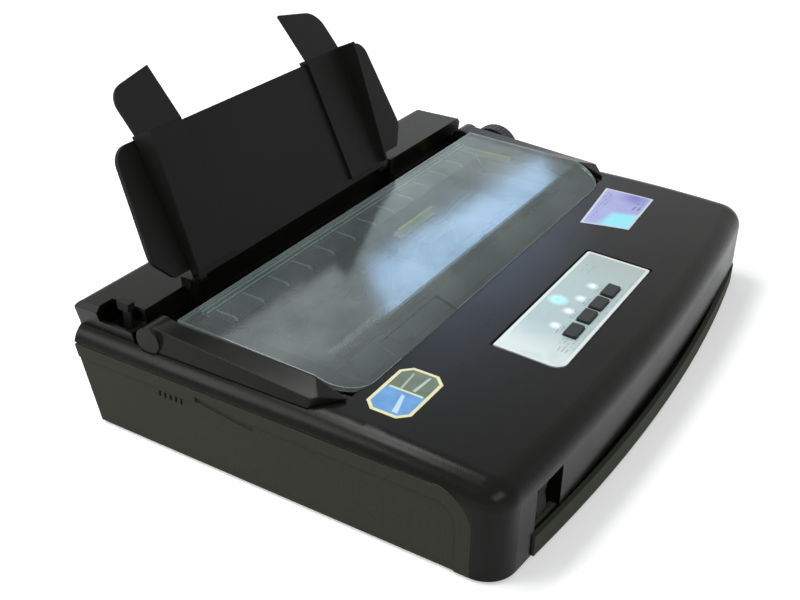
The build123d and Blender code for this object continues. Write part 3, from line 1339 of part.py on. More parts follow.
with BuildPart() as sheet_guide:
    with BuildSketch(sheet_plane.offset(-sheet_thickness)) as plate:
        with BuildLine():
            Polyline((-sheet_foot_half, sheet_low_v), (-sheet_low_half, sheet_wide_v),
                     (-sheet_top_half, sheet_guide_length), (sheet_top_half, sheet_guide_length),
                     (sheet_low_half, sheet_wide_v), (sheet_foot_half, sheet_low_v), close=True)
        make_face()
        fillet(plate.vertices().group_by(Axis.Y)[-1], 12.0)
        fillet(plate.vertices().group_by(Axis.Y)[1], 10.0)
    extrude(plate.sketch, amount=sheet_thickness)
    # corners cut away round the bearings
    for side in (-1, 1):
        low, high = both(sheet_bearing_x[0] - 1, sheet_foot_half + 20, side)
        block((sheet_x + low, sheet_x + high), (sheet_foot_at[0] - 6, sheet_pivot_at[0] + 6),
              (sheet_pivot_at[1] - 6, sheet_foot_at[1] + 5), Mode.SUBTRACT)
        # lug with its pin
        lug = both(*sheet_lug_x, side)
        lug = (sheet_x + lug[0], sheet_x + lug[1])
        side_prism([sheet_point(sheet_low_v, sheet_thickness - 1), sheet_point(8, sheet_thickness - 1),
                    sheet_point(4, 5.5), sheet_point(-2.4, 5.5)], lug)
        cross_rod(sheet_pivot_at, sheet_pin_radius + 0.8, lug)
        pin = both(sheet_lug_x[0], sheet_bearing_x[1], side)
        cross_rod(sheet_pivot_at, sheet_pin_radius, (sheet_x + pin[0], sheet_x + pin[1]))
finish(sheet_guide, "sheet_guide")

guide_sheet = 2.0
guide_foot_v = 2.0
ear_length = 36.0
ear_lean = math.radians(40.0)
flange_low = 7.0
flange_high = 16.0


def build_edge_guide(x, side):
    """Edge guide on the sheet guide: strip, hook, flange along its outer edge, and a leaning ear.

    x is the (low, high) range of the strip, and side is -1 where the flange is on the left.
    """
    outer = x[0] if side < 0 else x[1]
    inner = x[1] if side < 0 else x[0]
    front = -gap - guide_sheet
    back = sheet_thickness + gap
    top_v = sheet_guide_length + gap
    with BuildPart() as body:
        side_prism([sheet_point(guide_foot_v, front), sheet_point(guide_foot_v, -gap),
                    sheet_point(top_v + guide_sheet, -gap), sheet_point(top_v + guide_sheet, front)], x)
        # hook over the plate's top edge
        side_prism([sheet_point(top_v, front), sheet_point(top_v + guide_sheet, front),
                    sheet_point(top_v + guide_sheet, back + guide_sheet),
                    sheet_point(top_v - 7, back + guide_sheet),
                    sheet_point(top_v - 7, back), sheet_point(top_v, back)],
                   sorted((inner, inner + (outer - inner) * 0.55)))
        # flange that the paper's edge runs along
        flange = sorted((outer, outer + side * guide_sheet))
        side_prism([sheet_point(guide_foot_v, -gap), sheet_point(top_v + guide_sheet, -gap),
                    sheet_point(top_v + guide_sheet, -flange_high), sheet_point(top_v - 8, -flange_high),
                    sheet_point(guide_foot_v, -flange_low)], flange)
        # ear
        foot = sheet_point(top_v + guide_sheet - 0.5, -gap)
        ear_plane = Plane(origin=(0, *foot), x_dir=(1, 0, 0),
                          z_dir=(0, -math.cos(ear_lean), math.sin(ear_lean)))
        with BuildSketch(ear_plane) as ear:
            with BuildLine():
                Polyline((inner, -0.6), (inner, ear_length), (outer, ear_length - 7), (outer, -0.6),
                         close=True)
            make_face()
            fillet(ear.vertices().group_by(Axis.X)[0 if side < 0 else -1].sort_by(Axis.Y)[-1:], 14.0)
        extrude(ear.sketch, amount=guide_sheet)
    return body


edge_width = 38.0
edge_left_x = (sheet_x - sheet_top_half + 18.0, sheet_x - sheet_top_half + 18.0 + edge_width)
edge_right_x = (sheet_x + sheet_top_half - 32.0 - edge_width, sheet_x + sheet_top_half - 32.0)
finish(build_edge_guide(edge_left_x, -1), "edge_guide_left")
finish(build_edge_guide(edge_right_x, 1), "edge_guide_right")

# ---------------------------------------------------------------- levers
release_x = (gear_left_x - 4.0, gear_left_x - 2.0)
release_width = 7.0
with BuildPart() as release_lever:
    y, z = release_pivot_at
    cross_rod(release_pivot_at, 5.0, release_x)
    side_prism([(y - release_width / 2, z), (y + release_width / 2, z), (y + 3.0, deck_z + 2),
                (y - 3.0, deck_z + 2)], release_x)
    # thumb piece
    side_prism([(y - 4.0, deck_z - 1), (y + 4.0, deck_z - 1), (y + 4.5, deck_z + 4), (y - 4.5, deck_z + 4)],
               (release_x[0] - 2.5, release_x[1] + 1.0))
    cross_rod(release_pivot_at, stud_radius + running, (release_x[0] - 1, release_x[1] + 1), Mode.SUBTRACT)
finish(release_lever, "release_lever")

thickness_x = (frame_inner_x - 7.0, frame_inner_x - 4.5)
with BuildPart() as thickness_lever:
    y, z = thickness_pivot_at
    cross_rod(thickness_pivot_at, 5.0, thickness_x)
    side_prism([(y - 2.5, z), (y + 2.5, z), (y + 2.5, base_z + 67), (y - 45, base_z + 67),
                (y - 45, base_z + 63), (y - 2.5, base_z + 62)], thickness_x)
    cross_rod(thickness_pivot_at, stud_radius + running, (thickness_x[0] - 1, thickness_x[1] + 1),
              Mode.SUBTRACT)
finish(thickness_lever, "thickness_lever")

# ---------------------------------------------------------------- labels on the glossy top
label_sheet = 0.3
label_glue = 0.03  # thickness of the adhesive under a label
with BuildPart() as stickers:
    with BuildSketch(Plane.XY.offset(top_z - 10)) as labels:
        with Locations((-side_x + 47.0, cover_front_y - 19.0)):
            Rectangle(46, 28)
        chamfer(labels.vertices(), 6.0)
        with BuildLine():
            Polyline((side_x - 39.0, cover_front_y - 7.0), (side_x - 38.0, cover_front_y - 44.0),
                     (side_x - 96.0, cover_front_y - 47.0), (side_x - 105.0, cover_front_y - 14.0),
                     close=True)
        make_face()
    extrude(labels.sketch, amount=20)
    add(hood(-label_sheet), mode=Mode.INTERSECT)
    add(hood(-label_glue), mode=Mode.SUBTRACT)
finish(stickers, "stickers")

# ---------------------------------------------------------------- screws
with BuildPart() as screws:
    head_z = base_z + 0.5
    for side in (-1, 1):
        for y in post_y:
            rod("z", (side * post_x, y, head_z), screw_head_radius, screw_head)
            rod("z", (side * post_x, y, head_z), screw_radius, side_height + 2.5)
            with Locations((side * post_x, y, head_z)):
                Box(4, 0.8, 1.2, mode=Mode.SUBTRACT)
                Box(0.8, 4, 1.2, mode=Mode.SUBTRACT)
finish(screws, "screws")
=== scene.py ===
# %% [markdown]
# # A dot matrix printer
#
# The solids of the printer are already in their places, so this file mostly dresses them. It gives every
# surface the finish of the real thing, adds the pieces that are worked out as surfaces, and sets up a
# plain studio to look at it in. Lengths are in metres, and mm() turns millimetres into them.

import math
import bpy
import numpy as np
from mathutils import Matrix, Vector


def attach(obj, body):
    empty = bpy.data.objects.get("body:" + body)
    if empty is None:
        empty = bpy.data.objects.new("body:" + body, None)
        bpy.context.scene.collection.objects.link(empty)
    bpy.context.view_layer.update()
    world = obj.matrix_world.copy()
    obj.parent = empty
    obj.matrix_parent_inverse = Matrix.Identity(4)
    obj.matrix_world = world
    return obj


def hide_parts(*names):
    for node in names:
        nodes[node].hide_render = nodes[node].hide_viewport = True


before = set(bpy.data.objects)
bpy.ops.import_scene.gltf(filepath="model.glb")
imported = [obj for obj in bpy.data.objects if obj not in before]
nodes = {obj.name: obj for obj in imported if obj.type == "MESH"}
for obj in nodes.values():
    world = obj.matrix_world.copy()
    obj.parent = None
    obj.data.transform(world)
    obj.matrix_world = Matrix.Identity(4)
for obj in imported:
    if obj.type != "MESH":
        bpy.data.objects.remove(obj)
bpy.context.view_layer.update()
print("solids:", len(nodes))


def mm(*values):
    """Millimetres as metres: one number, or a tuple of them."""
    return values[0] / 1000 if len(values) == 1 else tuple(v / 1000 for v in values)


# %% [markdown]
# ## Where things are
#
# The shared origin lies under the middle of the whole printer, knob and sheet guide included. It is easier
# to think from the middle of the case, where left and right are alike, so at() takes millimetres from
# there and gives the place in the scene.

# %% Places seen from the middle of the case
case_middle = Vector(mm(-7.0, -5.7, 0.0))


def at(x, y, z=0.0):
    """A point given in millimetres from the middle of the case's underside, as a place in the scene."""
    return case_middle + Vector(mm(x, y, z))


print("middle of the case:", [round(value, 4) for value in case_middle])


# %% [markdown]
# ## Small helpers for materials
#
# A colour is written as people know it, as a hex value on a screen, and Blender wants it linear, so one
# function turns it over. Another adds a shader node of any kind, sets its properties and fills its inputs
# with values or with links, and a last one lays colours over each other in coats, as a painter does. With
# these a material reads like a recipe: Noise makes the grain, and Map Range turns one stretch of it into
# another, such as a mask from 0 to 1.

# %% Colours and nodes
def linear(hex_code):
    """sRGB hex to linear RGBA: divide by 12.92 near black, and a 2.4 power with an offset above."""
    srgb = np.array([int(hex_code[i:i + 2], 16) / 255 for i in (1, 3, 5)])
    rgb = np.where(srgb <= 0.04045, srgb / 12.92, ((srgb + 0.055) / 1.055) ** 2.4)
    return (*rgb.tolist(), 1.0)


def fill(node, inputs):
    """Fill a node's inputs with values, output sockets, or nodes, whose first output in use is linked."""
    for name, value in inputs.items():
        if isinstance(value, bpy.types.Node):
            value = next(output for output in value.outputs if output.enabled)
        if isinstance(value, bpy.types.NodeSocket):
            node.id_data.links.new(value, node.inputs[name])
        else:
            node.inputs[name].default_value = value
    return node


def add(tree, kind, inputs=None, **settings):
    """Add a shader node of a kind, with its properties set and its inputs filled."""
    node = tree.nodes.new("ShaderNode" + kind)
    for name, value in settings.items():
        setattr(node, name, value)
    return fill(node, inputs or {})


def coats(tree, ground, *layers):
    """Colours laid over a ground one after the other, each where its mask is 1.

    The ground and each layer's colour are hex values, or colours that were made from nodes.
    """
    for colour, mask in layers:
        under, over = (linear(c) if isinstance(c, str) else c for c in (ground, colour))
        ground = add(tree, "Mix", {"A": under, "B": over, "Factor": mask}, data_type="RGBA")
    return ground


def start_material(name, **shader_values):
    """A new material with its output and one Principled shader, whose constants sit on its sockets."""
    material = bpy.data.materials.new(name)
    material.use_nodes = True
    tree = material.node_tree
    tree.nodes.clear()
    shader = add(tree, "BsdfPrincipled", shader_values)
    add(tree, "OutputMaterial", {"Surface": shader})
    place = add(tree, "TexCoord").outputs["Object"]
    return material, tree, shader, place


# %% [markdown]
# ## Moulded plastics
#
# Nearly all of the printer is ABS, and what tells one part from the next is the mould. A polished mould
# gives a black that mirrors the room softly, with a faint orange peel and the odd greasy patch. A spark
# eroded mould gives fine grains that scatter light, so the same black looks like dark grey. One function
# makes both: the grain is a bump of a real size, a broad noise changes colour and roughness over a hand's
# width, and the bump starts from a Bevel node, which rounds the sharp edges of the solids by half a
# millimetre or more, as every moulding is, so that they catch the light.

# %% A moulding
hand_width_mm = 70.0


def moulding(name, light, dark, grain_mm, grain_depth_mm, roughness, spread, specular=0.5, edge_mm=0.5):
    """Moulded plastic between two tones, with a grain and a roughness that wanders by spread.

    The share of the light tone follows 0.7 times the broad patches plus the grains.
    """
    material, tree, shader, place = start_material(name, **{"Specular IOR Level": specular})
    patches = add(tree, "TexNoise", {"Vector": place, "Scale": 1 / mm(hand_width_mm), "Detail": 4.0,
                                     "Roughness": 0.55})
    grains = add(tree, "TexNoise", {"Vector": place, "Scale": 1 / mm(grain_mm), "Roughness": 0.6})
    both = add(tree, "Math", {0: patches, 1: 0.7, 2: grains}, operation="MULTIPLY_ADD")
    share = add(tree, "MapRange", {"Value": both, "From Min": 0.55, "From Max": 1.15})
    rough = add(tree, "MapRange", {"Value": patches, "From Min": 0.3, "From Max": 0.7,
                                   "To Min": roughness - spread, "To Max": roughness + spread})
    edge = add(tree, "Bevel", {"Radius": mm(edge_mm)}, samples=4)
    bump = add(tree, "Bump", {"Height": grains, "Distance": mm(grain_depth_mm), "Strength": 0.6,
                              "Normal": edge})
    fill(shader, {"Base Color": coats(tree, dark, (light, share)), "Roughness": rough, "Normal": bump})
    return material


# %% The mouldings of this printer
# polished ABS: a black with a breath of olive that mirrors the room as soft patches
polished_abs = moulding("polished_black_abs", "#11120e", "#0a0b08", 1.6, 0.008, 0.26, 0.05, 0.12, 0.7)
# the cover's ends come from the same mould shop, but their ridges are rounder and worn by the hand
ridged_abs = moulding("ridged_black_abs", "#11120e", "#0a0b08", 1.6, 0.008, 0.3, 0.05, 0.14, 1.6)
# spark eroded ABS: the grain makes it a dark olive grey in the light
grained_abs = moulding("grained_dark_grey_abs", "#42443b", "#34362e", 0.9, 0.12, 0.7, 0.06, 0.12)
# the sheet guide and its edge guides: satin black, with a finer grain
satin_abs = moulding("satin_black_abs", "#121411", "#0b0c0a", 0.7, 0.05, 0.55, 0.05, 0.14)
# inner mouldings that only show through the cover
inner_abs = moulding("inner_black_abs", "#1d1e1f", "#111112", 1.0, 0.012, 0.6, 0.05, 0.2)
# the knob: gripped often, so its grain is worn smoother
knob_abs = moulding("knob_black_abs", "#171816", "#0e0f0d", 0.8, 0.05, 0.42, 0.05, 0.3)
# yellow ABS marks what a hand may move
yellow_abs = moulding("yellow_abs", "#dcd63a", "#c4b81e", 0.8, 0.04, 0.45, 0.05)
# gears and pulleys: unpainted nylon, milky and slightly waxy
nylon = moulding("natural_nylon", "#d9d6c9", "#bdb9aa", 0.6, 0.03, 0.5, 0.08)
# keys: black, with a touch of green in the light
key_plastic = moulding("soft_key_plastic", "#1a211f", "#0f1413", 0.5, 0.03, 0.45, 0.04, 0.3)
# rubber, paint, vinyl, laminate and cloth differ from ABS in tone, grain and gloss only
foot_rubber = moulding("foot_rubber", "#232323", "#131313", 0.5, 0.1, 0.85, 0.05, 0.3)
platen_rubber = moulding("platen_rubber", "#1f2022", "#131416", 0.4, 0.04, 0.6, 0.06, 0.35)
belt_rubber = moulding("belt_rubber", "#1a1a1a", "#0d0d0d", 0.8, 0.08, 0.75, 0.05, 0.3)
motor_paint = moulding("motor_black_paint", "#232427", "#161719", 0.6, 0.03, 0.45, 0.06)
cable_vinyl = moulding("cable_grey_vinyl", "#8d8f92", "#6f7174", 0.9, 0.03, 0.55, 0.05)
board_laminate = moulding("green_board_laminate", "#1d6b3a", "#114a26", 0.5, 0.02, 0.35, 0.06)
ribbon_cloth = moulding("inked_ribbon_cloth", "#15151c", "#08080b", 0.5, 0.06, 0.8, 0.05, 0.25)
print("materials so far:", len(bpy.data.materials))


# %% [markdown]
# ## Metals
#
# The frames are zinc plated sheet, which shows a cloudy grey, and the bars are ground steel, which has
# finer marks. Both are fully metallic and differ in how cloudy and how rough they are.

# %% Metals
def metal(name, light, dark, cloud_mm, roughness, spread):
    """Bare metal between two tones, cloudy at the given size."""
    material, tree, shader, place = start_material(name, **{"Metallic": 1.0})
    clouds = add(tree, "TexNoise", {"Vector": place, "Scale": 1 / mm(cloud_mm), "Detail": 5.0})
    rough = add(tree, "MapRange", {"Value": clouds, "From Min": 0.3, "From Max": 0.7,
                                   "To Min": roughness - spread, "To Max": roughness + spread})
    fill(shader, {"Base Color": coats(tree, dark, (light, clouds)), "Roughness": rough})
    return material


zinc_sheet = metal("zinc_plated_sheet", "#8f9294", "#64676b", 6.0, 0.4, 0.08)
ground_steel = metal("ground_steel_bar", "#7f8082", "#66686b", 1.5, 0.28, 0.05)
cast_alloy = metal("cast_head_alloy", "#7b7e82", "#55585b", 2.0, 0.5, 0.08)
print("metals:", zinc_sheet.name, ground_steel.name, cast_alloy.name)


# %% [markdown]
# ## Clear plastics
#
# The cover is lightly smoked acrylic, 2.5 mm thick. Most of each face has to let light through to the
# works below, so it is a tinted Transparent shader, and a share of a mirror-like shader lies over it. That
# share grows towards a glancing view by Schlick's rule, 0.04 + 0.96 (1 - cos)^5, worked out from Layer
# Weight, because the Fresnel node would take the lower face for one seen from inside the plastic and make
# it a full mirror. Dust and wiping marks add a little haze. Towards the front the haze thins, which paints
# the darker reflection of the room on the steeper front of the cover. The cut edges get a painted glint,
# a mask that raises the mirror-like share, so they look whitish.

# %% A clear plastic
mirrored_head_on = 0.04
wipe_mm = 60.0
# where the haze thins towards the front, and by how much: a painted darker reflection on the steeper front
darker_front_y, full_haze_y = -30.0, 15.0
darker_front_share = 0.3


def clear_plastic(name, tint, gloss, haze, roughness, edges=None, metallic=0.7):
    """See-through plastic: tinted Transparent under a share of gloss, haze and painted glints on the edges.
    """
    material, tree, shader, place = start_material(name, **{"Metallic": metallic, "Roughness": roughness})
    wipes = add(tree, "TexNoise", {"Vector": place, "Scale": 1 / mm(wipe_mm), "Detail": 5.0,
                                   "Roughness": 0.6})
    fill(shader, {"Base Color": coats(tree, gloss, ("#e4ebec", wipes))})
    clear = add(tree, "BsdfTransparent", {"Color": linear(tint)})
    facing = add(tree, "LayerWeight", {"Blend": 0.5}).outputs["Facing"]
    glancing = add(tree, "Math", {0: facing, 1: 5.0}, operation="POWER")
    schlick = add(tree, "Math", {0: glancing, 1: 1 - mirrored_head_on, 2: mirrored_head_on},
                  operation="MULTIPLY_ADD")
    depth = add(tree, "SeparateXYZ", {0: place}).outputs["Y"]
    # painted reflection: less haze towards the front makes the steeper front of the cover darker
    painted_darker_front = add(tree, "MapRange", {"Value": depth, "From Min": at(0, darker_front_y).y,
                                     "From Max": at(0, full_haze_y).y, "To Min": darker_front_share})
    dust = add(tree, "MapRange", {"Value": wipes, "From Min": 0.3, "From Max": 0.75,
                                  "To Min": haze * 0.6, "To Max": haze * 1.4})
    dust = add(tree, "Math", {0: dust, 1: painted_darker_front}, operation="MULTIPLY")
    share = add(tree, "Math", {0: schlick, 1: dust}, operation="ADD")
    # a painted glint on the cut edges raises the mirror-like share there
    if edges is not None:
        share = add(tree, "Math", {0: share, 1: edges(tree, place)}, operation="MAXIMUM")
    mix = add(tree, "MixShader", {0: share, 1: clear, 2: shader})
    fill(next(node for node in tree.nodes if node.type == "OUTPUT_MATERIAL"), {"Surface": mix})
    return material


# %% The window's painted edge glints
# its outline, in millimetres from the case's middle; it runs on behind the hinge, where it is cut straight
window_half_width = 177.0
window_front_y, window_rear_y = -32.5, 86.5
window_corner = 25.0
outline_half_depth = 150.0
edge_glint_share = 0.55


def window_edge_glints(tree, place):
    """How strong the painted glint on the window's cut edges is: the glint share within about 0.7 mm of its
    outline, and 0 elsewhere.

    With q the distances past the inner rectangle on both axes, a point lies outside a rounded rectangle by
    the length of the part of q above zero, less the corner's radius.
    """
    inner = mm(window_half_width - window_corner, outline_half_depth - window_corner)
    centre = at(0, window_front_y + outline_half_depth)
    offset = add(tree, "VectorMath", {0: place, 1: centre}, operation="SUBTRACT")
    size = add(tree, "VectorMath", {0: offset}, operation="ABSOLUTE")
    past = add(tree, "VectorMath", {0: size, 1: (*inner, 1.0)}, operation="SUBTRACT")
    above_zero = add(tree, "VectorMath", {0: past, 1: (0, 0, 0)}, operation="MAXIMUM")
    reach = add(tree, "VectorMath", {0: above_zero}, operation="LENGTH").outputs["Value"]
    round_edge = add(tree, "MapRange", {"Value": reach, "From Min": mm(window_corner - 0.9),
                                        "From Max": mm(window_corner - 0.5)})
    depth = add(tree, "SeparateXYZ", {0: place}).outputs["Y"]
    rear_edge = add(tree, "MapRange", {"Value": depth, "From Min": at(0, window_rear_y - 0.3).y,
                                       "From Max": at(0, window_rear_y).y})
    edge = add(tree, "Math", {0: round_edge, 1: rear_edge}, operation="MAXIMUM")
    return add(tree, "Math", {0: edge, 1: edge_glint_share}, operation="MULTIPLY")


smoked_acrylic = clear_plastic("smoked_acrylic", "#e3e9e8", "#b3c4c2", 0.13, 0.1, window_edge_glints)
# clear plastic painted pale: its whitish tone is painted glow, for the light the fins and ribs gather at
# their edges
pale_painted_clear = clear_plastic("pale_painted_clear_plastic", "#eef3f2", "#dfe8e6", 0.85, 0.5, metallic=0.1)
thin_clear = clear_plastic("thin_clear_plastic", "#f2f5f4", "#c9d3d2", 0.05, 0.12)
print("clear plastics:", smoked_acrylic.name, pale_painted_clear.name, thin_clear.name)

# %% [markdown]
# ## The finishes go on the solids
#
# A table in words says which solid has which finish, and a loop puts it into the solid's slots.

# %% Dress the solids
finishes = {
    polished_abs: ["upper_case"],
    ridged_abs: ["cover_end_left", "cover_end_right"],
    grained_abs: ["lower_case"],
    satin_abs: ["sheet_guide", "edge_guide_left", "edge_guide_right", "release_lever", "power_switch"],
    inner_abs: ["paper_pan", "carriage", "ribbon_cartridge", "tractor_left", "tractor_right",
                "tractor_flap_left", "tractor_flap_right", "power_inlet", "ribbon_knob"],
    knob_abs: ["platen_knob"],
    yellow_abs: ["thickness_lever", "head_tab"],
    nylon: ["platen_bushes", "platen_gear", "idler_gear", "feed_pinion", "tractor_gear", "drive_pulley",
            "idler_pulley"],
    key_plastic: ["key_1", "key_2", "key_3", "key_4"],
    foot_rubber: ["rubber_feet"],
    platen_rubber: ["platen_roller", "pressure_rollers"],
    belt_rubber: ["timing_belt"],
    motor_paint: ["feed_motor", "carriage_motor"],
    cable_vinyl: ["flat_cable"],
    board_laminate: ["main_board", "power_board", "key_board"],
    ribbon_cloth: ["ribbon"],
    zinc_sheet: ["base_plate", "side_frame_left", "side_frame_right", "data_sockets", "screws"],
    ground_steel: ["carriage_shaft", "platen_shaft", "tractor_shaft", "tractor_rod", "cover_hinge_pins"],
    cast_alloy: ["print_head"],
    smoked_acrylic: ["cover_window"],
    thin_clear: ["paper_separator"],
}
dressed = set()


def dress(name, material):
    """Put a material into every slot of a solid."""
    mesh = nodes[name].data
    if not mesh.materials:
        mesh.materials.append(material)
    for i in range(len(mesh.materials)):
        mesh.materials[i] = material
    dressed.add(name)


for material, names in finishes.items():
    for name in names:
        dress(name, material)
print("dressed:", len(dressed))

# %% [markdown]
# ## The paper separator
#
# Under the rear edge of the cover hangs a clear strip with thirteen fins, which part the printed sheet from
# the one that goes in. Each fin is a slim bar that runs forward under the strip and ends in a small hook
# that turns down, and both its ends are thicker, so they gather the light and look like whitish beads; that
# whitish glow is painted, by a pale clear finish. Cut from a sheet the fins would look sharp and flat; as
# tubes carried along a hooked path, all thirteen come from one array.

# %% Surfaces from arrays
def piece(name, points_mm, faces, material, body, slot_name, smooth=True):
    """A mesh piece that rides on a body, from points in millimetres from the case's middle."""
    mesh = bpy.data.meshes.new(name)
    verts = np.asarray(points_mm, float) / 1000 + np.array(case_middle)
    mesh.from_pydata(verts.tolist(), [], [tuple(map(int, f)) for f in faces])
    mesh.polygons.foreach_set("use_smooth", np.full(len(mesh.polygons), smooth))
    mesh.materials.append(material)
    mesh.update()
    made = bpy.data.objects.new(name, mesh)
    bpy.context.scene.collection.objects.link(made)
    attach(made, body)
    print(name, "faces:", len(mesh.polygons))
    return made


def grid_faces(stations, sides):
    """Quads between rings of points, each ring closed on itself, wound so that they face outwards."""
    s, k = np.meshgrid(np.arange(stations - 1), np.arange(sides), indexing="ij")
    here, ahead = s * sides + k, s * sides + (k + 1) % sides
    return np.stack([here, ahead, ahead + sides, here + sides], axis=-1).reshape(-1, 4)


def fin_tubes(centres_x, path, radii, sides=12):
    """Round tubes along one path in the (y, z) plane, repeated at every x.

    A point of a tube is the path's point, plus the radius times cos t along X and sin t along the path's
    normal. The first and last rings have almost no radius, which closes the ends.
    """
    run = np.gradient(path, axis=0)
    run /= np.linalg.norm(run, axis=1, keepdims=True)
    normal = np.column_stack([-run[:, 1], run[:, 0]])
    t = np.linspace(0, 2 * np.pi, sides, endpoint=False)
    x = radii[:, None] * np.cos(t)
    y = path[:, :1] + radii[:, None] * np.sin(t) * normal[:, :1]
    z = path[:, 1:] + radii[:, None] * np.sin(t) * normal[:, 1:]
    one = np.stack([x, y, z], axis=-1).reshape(-1, 3)
    shifts = np.array([[c, 0, 0] for c in centres_x])
    points = (one[None] + shifts[:, None]).reshape(-1, 3)
    faces = grid_faces(len(path), sides)
    faces = (faces[None] + (np.arange(len(centres_x)) * len(one))[:, None, None]).reshape(-1, 4)
    return points, faces


# %% The underside of the cover
# its rear part is straight: it rises from the bend to the hinge, 95 mm further back
bend_y, bend_z = -8.0, 73.2
hinge_z = 77.0
window_thickness = 2.5
slope = (hinge_z - bend_z) / 95.0


def under_window(y):
    """Height of the cover's underside in millimetres."""
    return bend_z - window_thickness + (np.asarray(y, float) - bend_y) * slope


print("the cover rises by", round(1000 * slope, 1), "mm in a metre")

# %% Hooked fins
fin_count, fin_pitch = 13, 25.0
fin_rear_y, fin_reach = 84.6, 19.6
fin_drop, hook_drop = 2.2, 2.0
separator_slot = "ribbed_clear"

way = np.linspace(0, 1, 30)
fin_y = fin_rear_y - fin_reach * way
hook = np.clip((way - 0.8) / 0.2, 0, 1)
fin_z = under_window(fin_y) - fin_drop - hook_drop * hook ** 2
# a bell-shaped bead near each end, on a radius that falls to nearly nothing at the very ends
beads = np.exp(-((way - 0.06) / 0.06) ** 2) + np.exp(-((way - 0.93) / 0.05) ** 2)
fin_radii = np.minimum(0.65 + 0.45 * beads, 1.4 * np.sqrt(np.clip(way * (1 - way), 0, 1) * 8) + 0.01)
fin_x = (np.arange(fin_count) - (fin_count - 1) / 2) * fin_pitch
fin_points, fin_faces = fin_tubes(fin_x, np.column_stack([fin_y, fin_z]), fin_radii)
fins = piece("separator_fins", fin_points, fin_faces, pale_painted_clear, "cover", separator_slot)


# %% Ribbed strip
def bar_along_x(profile, half_length):
    """A closed (y, z) profile carried from -half_length to +half_length, with flat ends."""
    n = len(profile)
    points = np.concatenate([np.column_stack([np.full(n, x), profile]) for x in (-half_length, half_length)])
    turn = [(k, (k + 1) % n, n + (k + 1) % n, n + k) for k in range(n)]
    return points, turn + [tuple(range(n))[::-1], tuple(range(n, 2 * n))]


# the strip from its side: how far back each corner lies, and how far below the cover
strip_y = np.array([62.0, 86.0, 86.0, 84.8, 84.8, 82.4, 82.4, 81.4, 81.4, 62.0])
strip_drop = np.array([0.1, 0.1, 3.4, 3.4, 1.0, 1.0, 2.4, 2.4, 0.9, 0.9])
strip_half_length = 158.0
strip_profile = np.column_stack([strip_y, under_window(strip_y) - strip_drop])
strip = piece("separator_strip", *bar_along_x(strip_profile, strip_half_length), thin_clear, "cover",
              separator_slot, smooth=False)

# %% [markdown]
# The strip's two lengthwise ribs stand edge on to the light, so they need the pale clear finish, which
# paints their glow, to show as the pale double line along the rear of the cover. They are laid on as their
# own slim bars.

# %% Ribs of the strip
rib_y = np.array([85.9, 85.9, 85.1, 85.1])
rib_drop = np.array([0.4, 3.2, 3.2, 0.4])
rib_half_length = strip_half_length - 0.5
rib_points, rib_faces = [], []
for shift in (0.0, -3.6):
    rib_profile = np.column_stack([rib_y + shift, under_window(rib_y + shift) - rib_drop])
    points, faces = bar_along_x(rib_profile, rib_half_length)
    rib_faces += [tuple(i + len(rib_points) for i in face) for face in faces]
    rib_points += points.tolist()
ribs = piece("separator_ribs", rib_points, rib_faces, pale_painted_clear, "cover", separator_slot, smooth=False)
for part in (fins, strip, ribs):
    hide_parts("paper_separator")

# %% [markdown]
# ## Printed films
#
# The control panel is a sheet of polycarbonate printed silver from behind, and the two labels are printed
# vinyl. A print has no thickness, so it is a pattern in the material and not geometry. Each pattern lives
# on its own plane: the Object coordinates are moved to the film's middle, turned by its tilt and scaled to
# millimetres, and shapes are drawn there as masks. The words of such panels are only greeked: rows of
# small grey strokes that say nothing.

# %% Planes and masks
def film_plane(tree, place, origin, tilt=0.0):
    """Millimetres on a film's own plane, from its middle."""
    from_middle = add(tree, "VectorMath", {0: place, 1: origin}, operation="SUBTRACT")
    return add(tree, "Mapping", {"Vector": from_middle, "Rotation": (-tilt, 0, 0),
                                 "Scale": (1000, 1000, 1000)})


def inside(tree, plane, corners, inset, soft=0.35):
    """1 inside a convex outline moved in by inset: the greatest distance past any edge, then a ramp.

    Going round anticlockwise, the distance past an edge is the dot product with its outward normal, less
    that of a corner on it.
    """
    corners = [Vector(c) for c in corners]
    farthest = None
    for a, b in zip(corners, corners[1:] + corners[:1]):
        normal = Vector((b.y - a.y, a.x - b.x)).normalized()
        along = add(tree, "VectorMath", {0: plane, 1: (*normal, 0)}, operation="DOT_PRODUCT")
        past = add(tree, "Math", {0: along.outputs["Value"], 1: normal.dot(a)}, operation="SUBTRACT")
        farthest = past if farthest is None else add(tree, "Math", {0: farthest, 1: past},
                                                     operation="MAXIMUM")
    return add(tree, "MapRange", {"Value": farthest, "From Min": -inset - soft / 2,
                                  "From Max": -inset + soft / 2, "To Min": 1.0, "To Max": 0.0})


def rectangle(x, y, width, height):
    """Corners of an upright rectangle about (x, y), anticlockwise."""
    return [(x + sx * width / 2, y + sy * height / 2) for sx, sy in ((-1, -1), (1, -1), (1, 1), (-1, 1))]


def spot(tree, plane, x, y, radius, soft):
    """1 within radius of (x, y), falling to 0 over the soft distance."""
    away = add(tree, "VectorMath", {0: plane, 1: (x, y, 0)}, operation="SUBTRACT")
    flat = add(tree, "VectorMath", {0: away, 1: (1, 1, 0)}, operation="MULTIPLY")
    reach = add(tree, "VectorMath", {0: flat}, operation="LENGTH").outputs["Value"]
    return add(tree, "MapRange", {"Value": reach, "From Min": radius, "From Max": radius + soft,
                                  "To Min": 1.0, "To Max": 0.0})


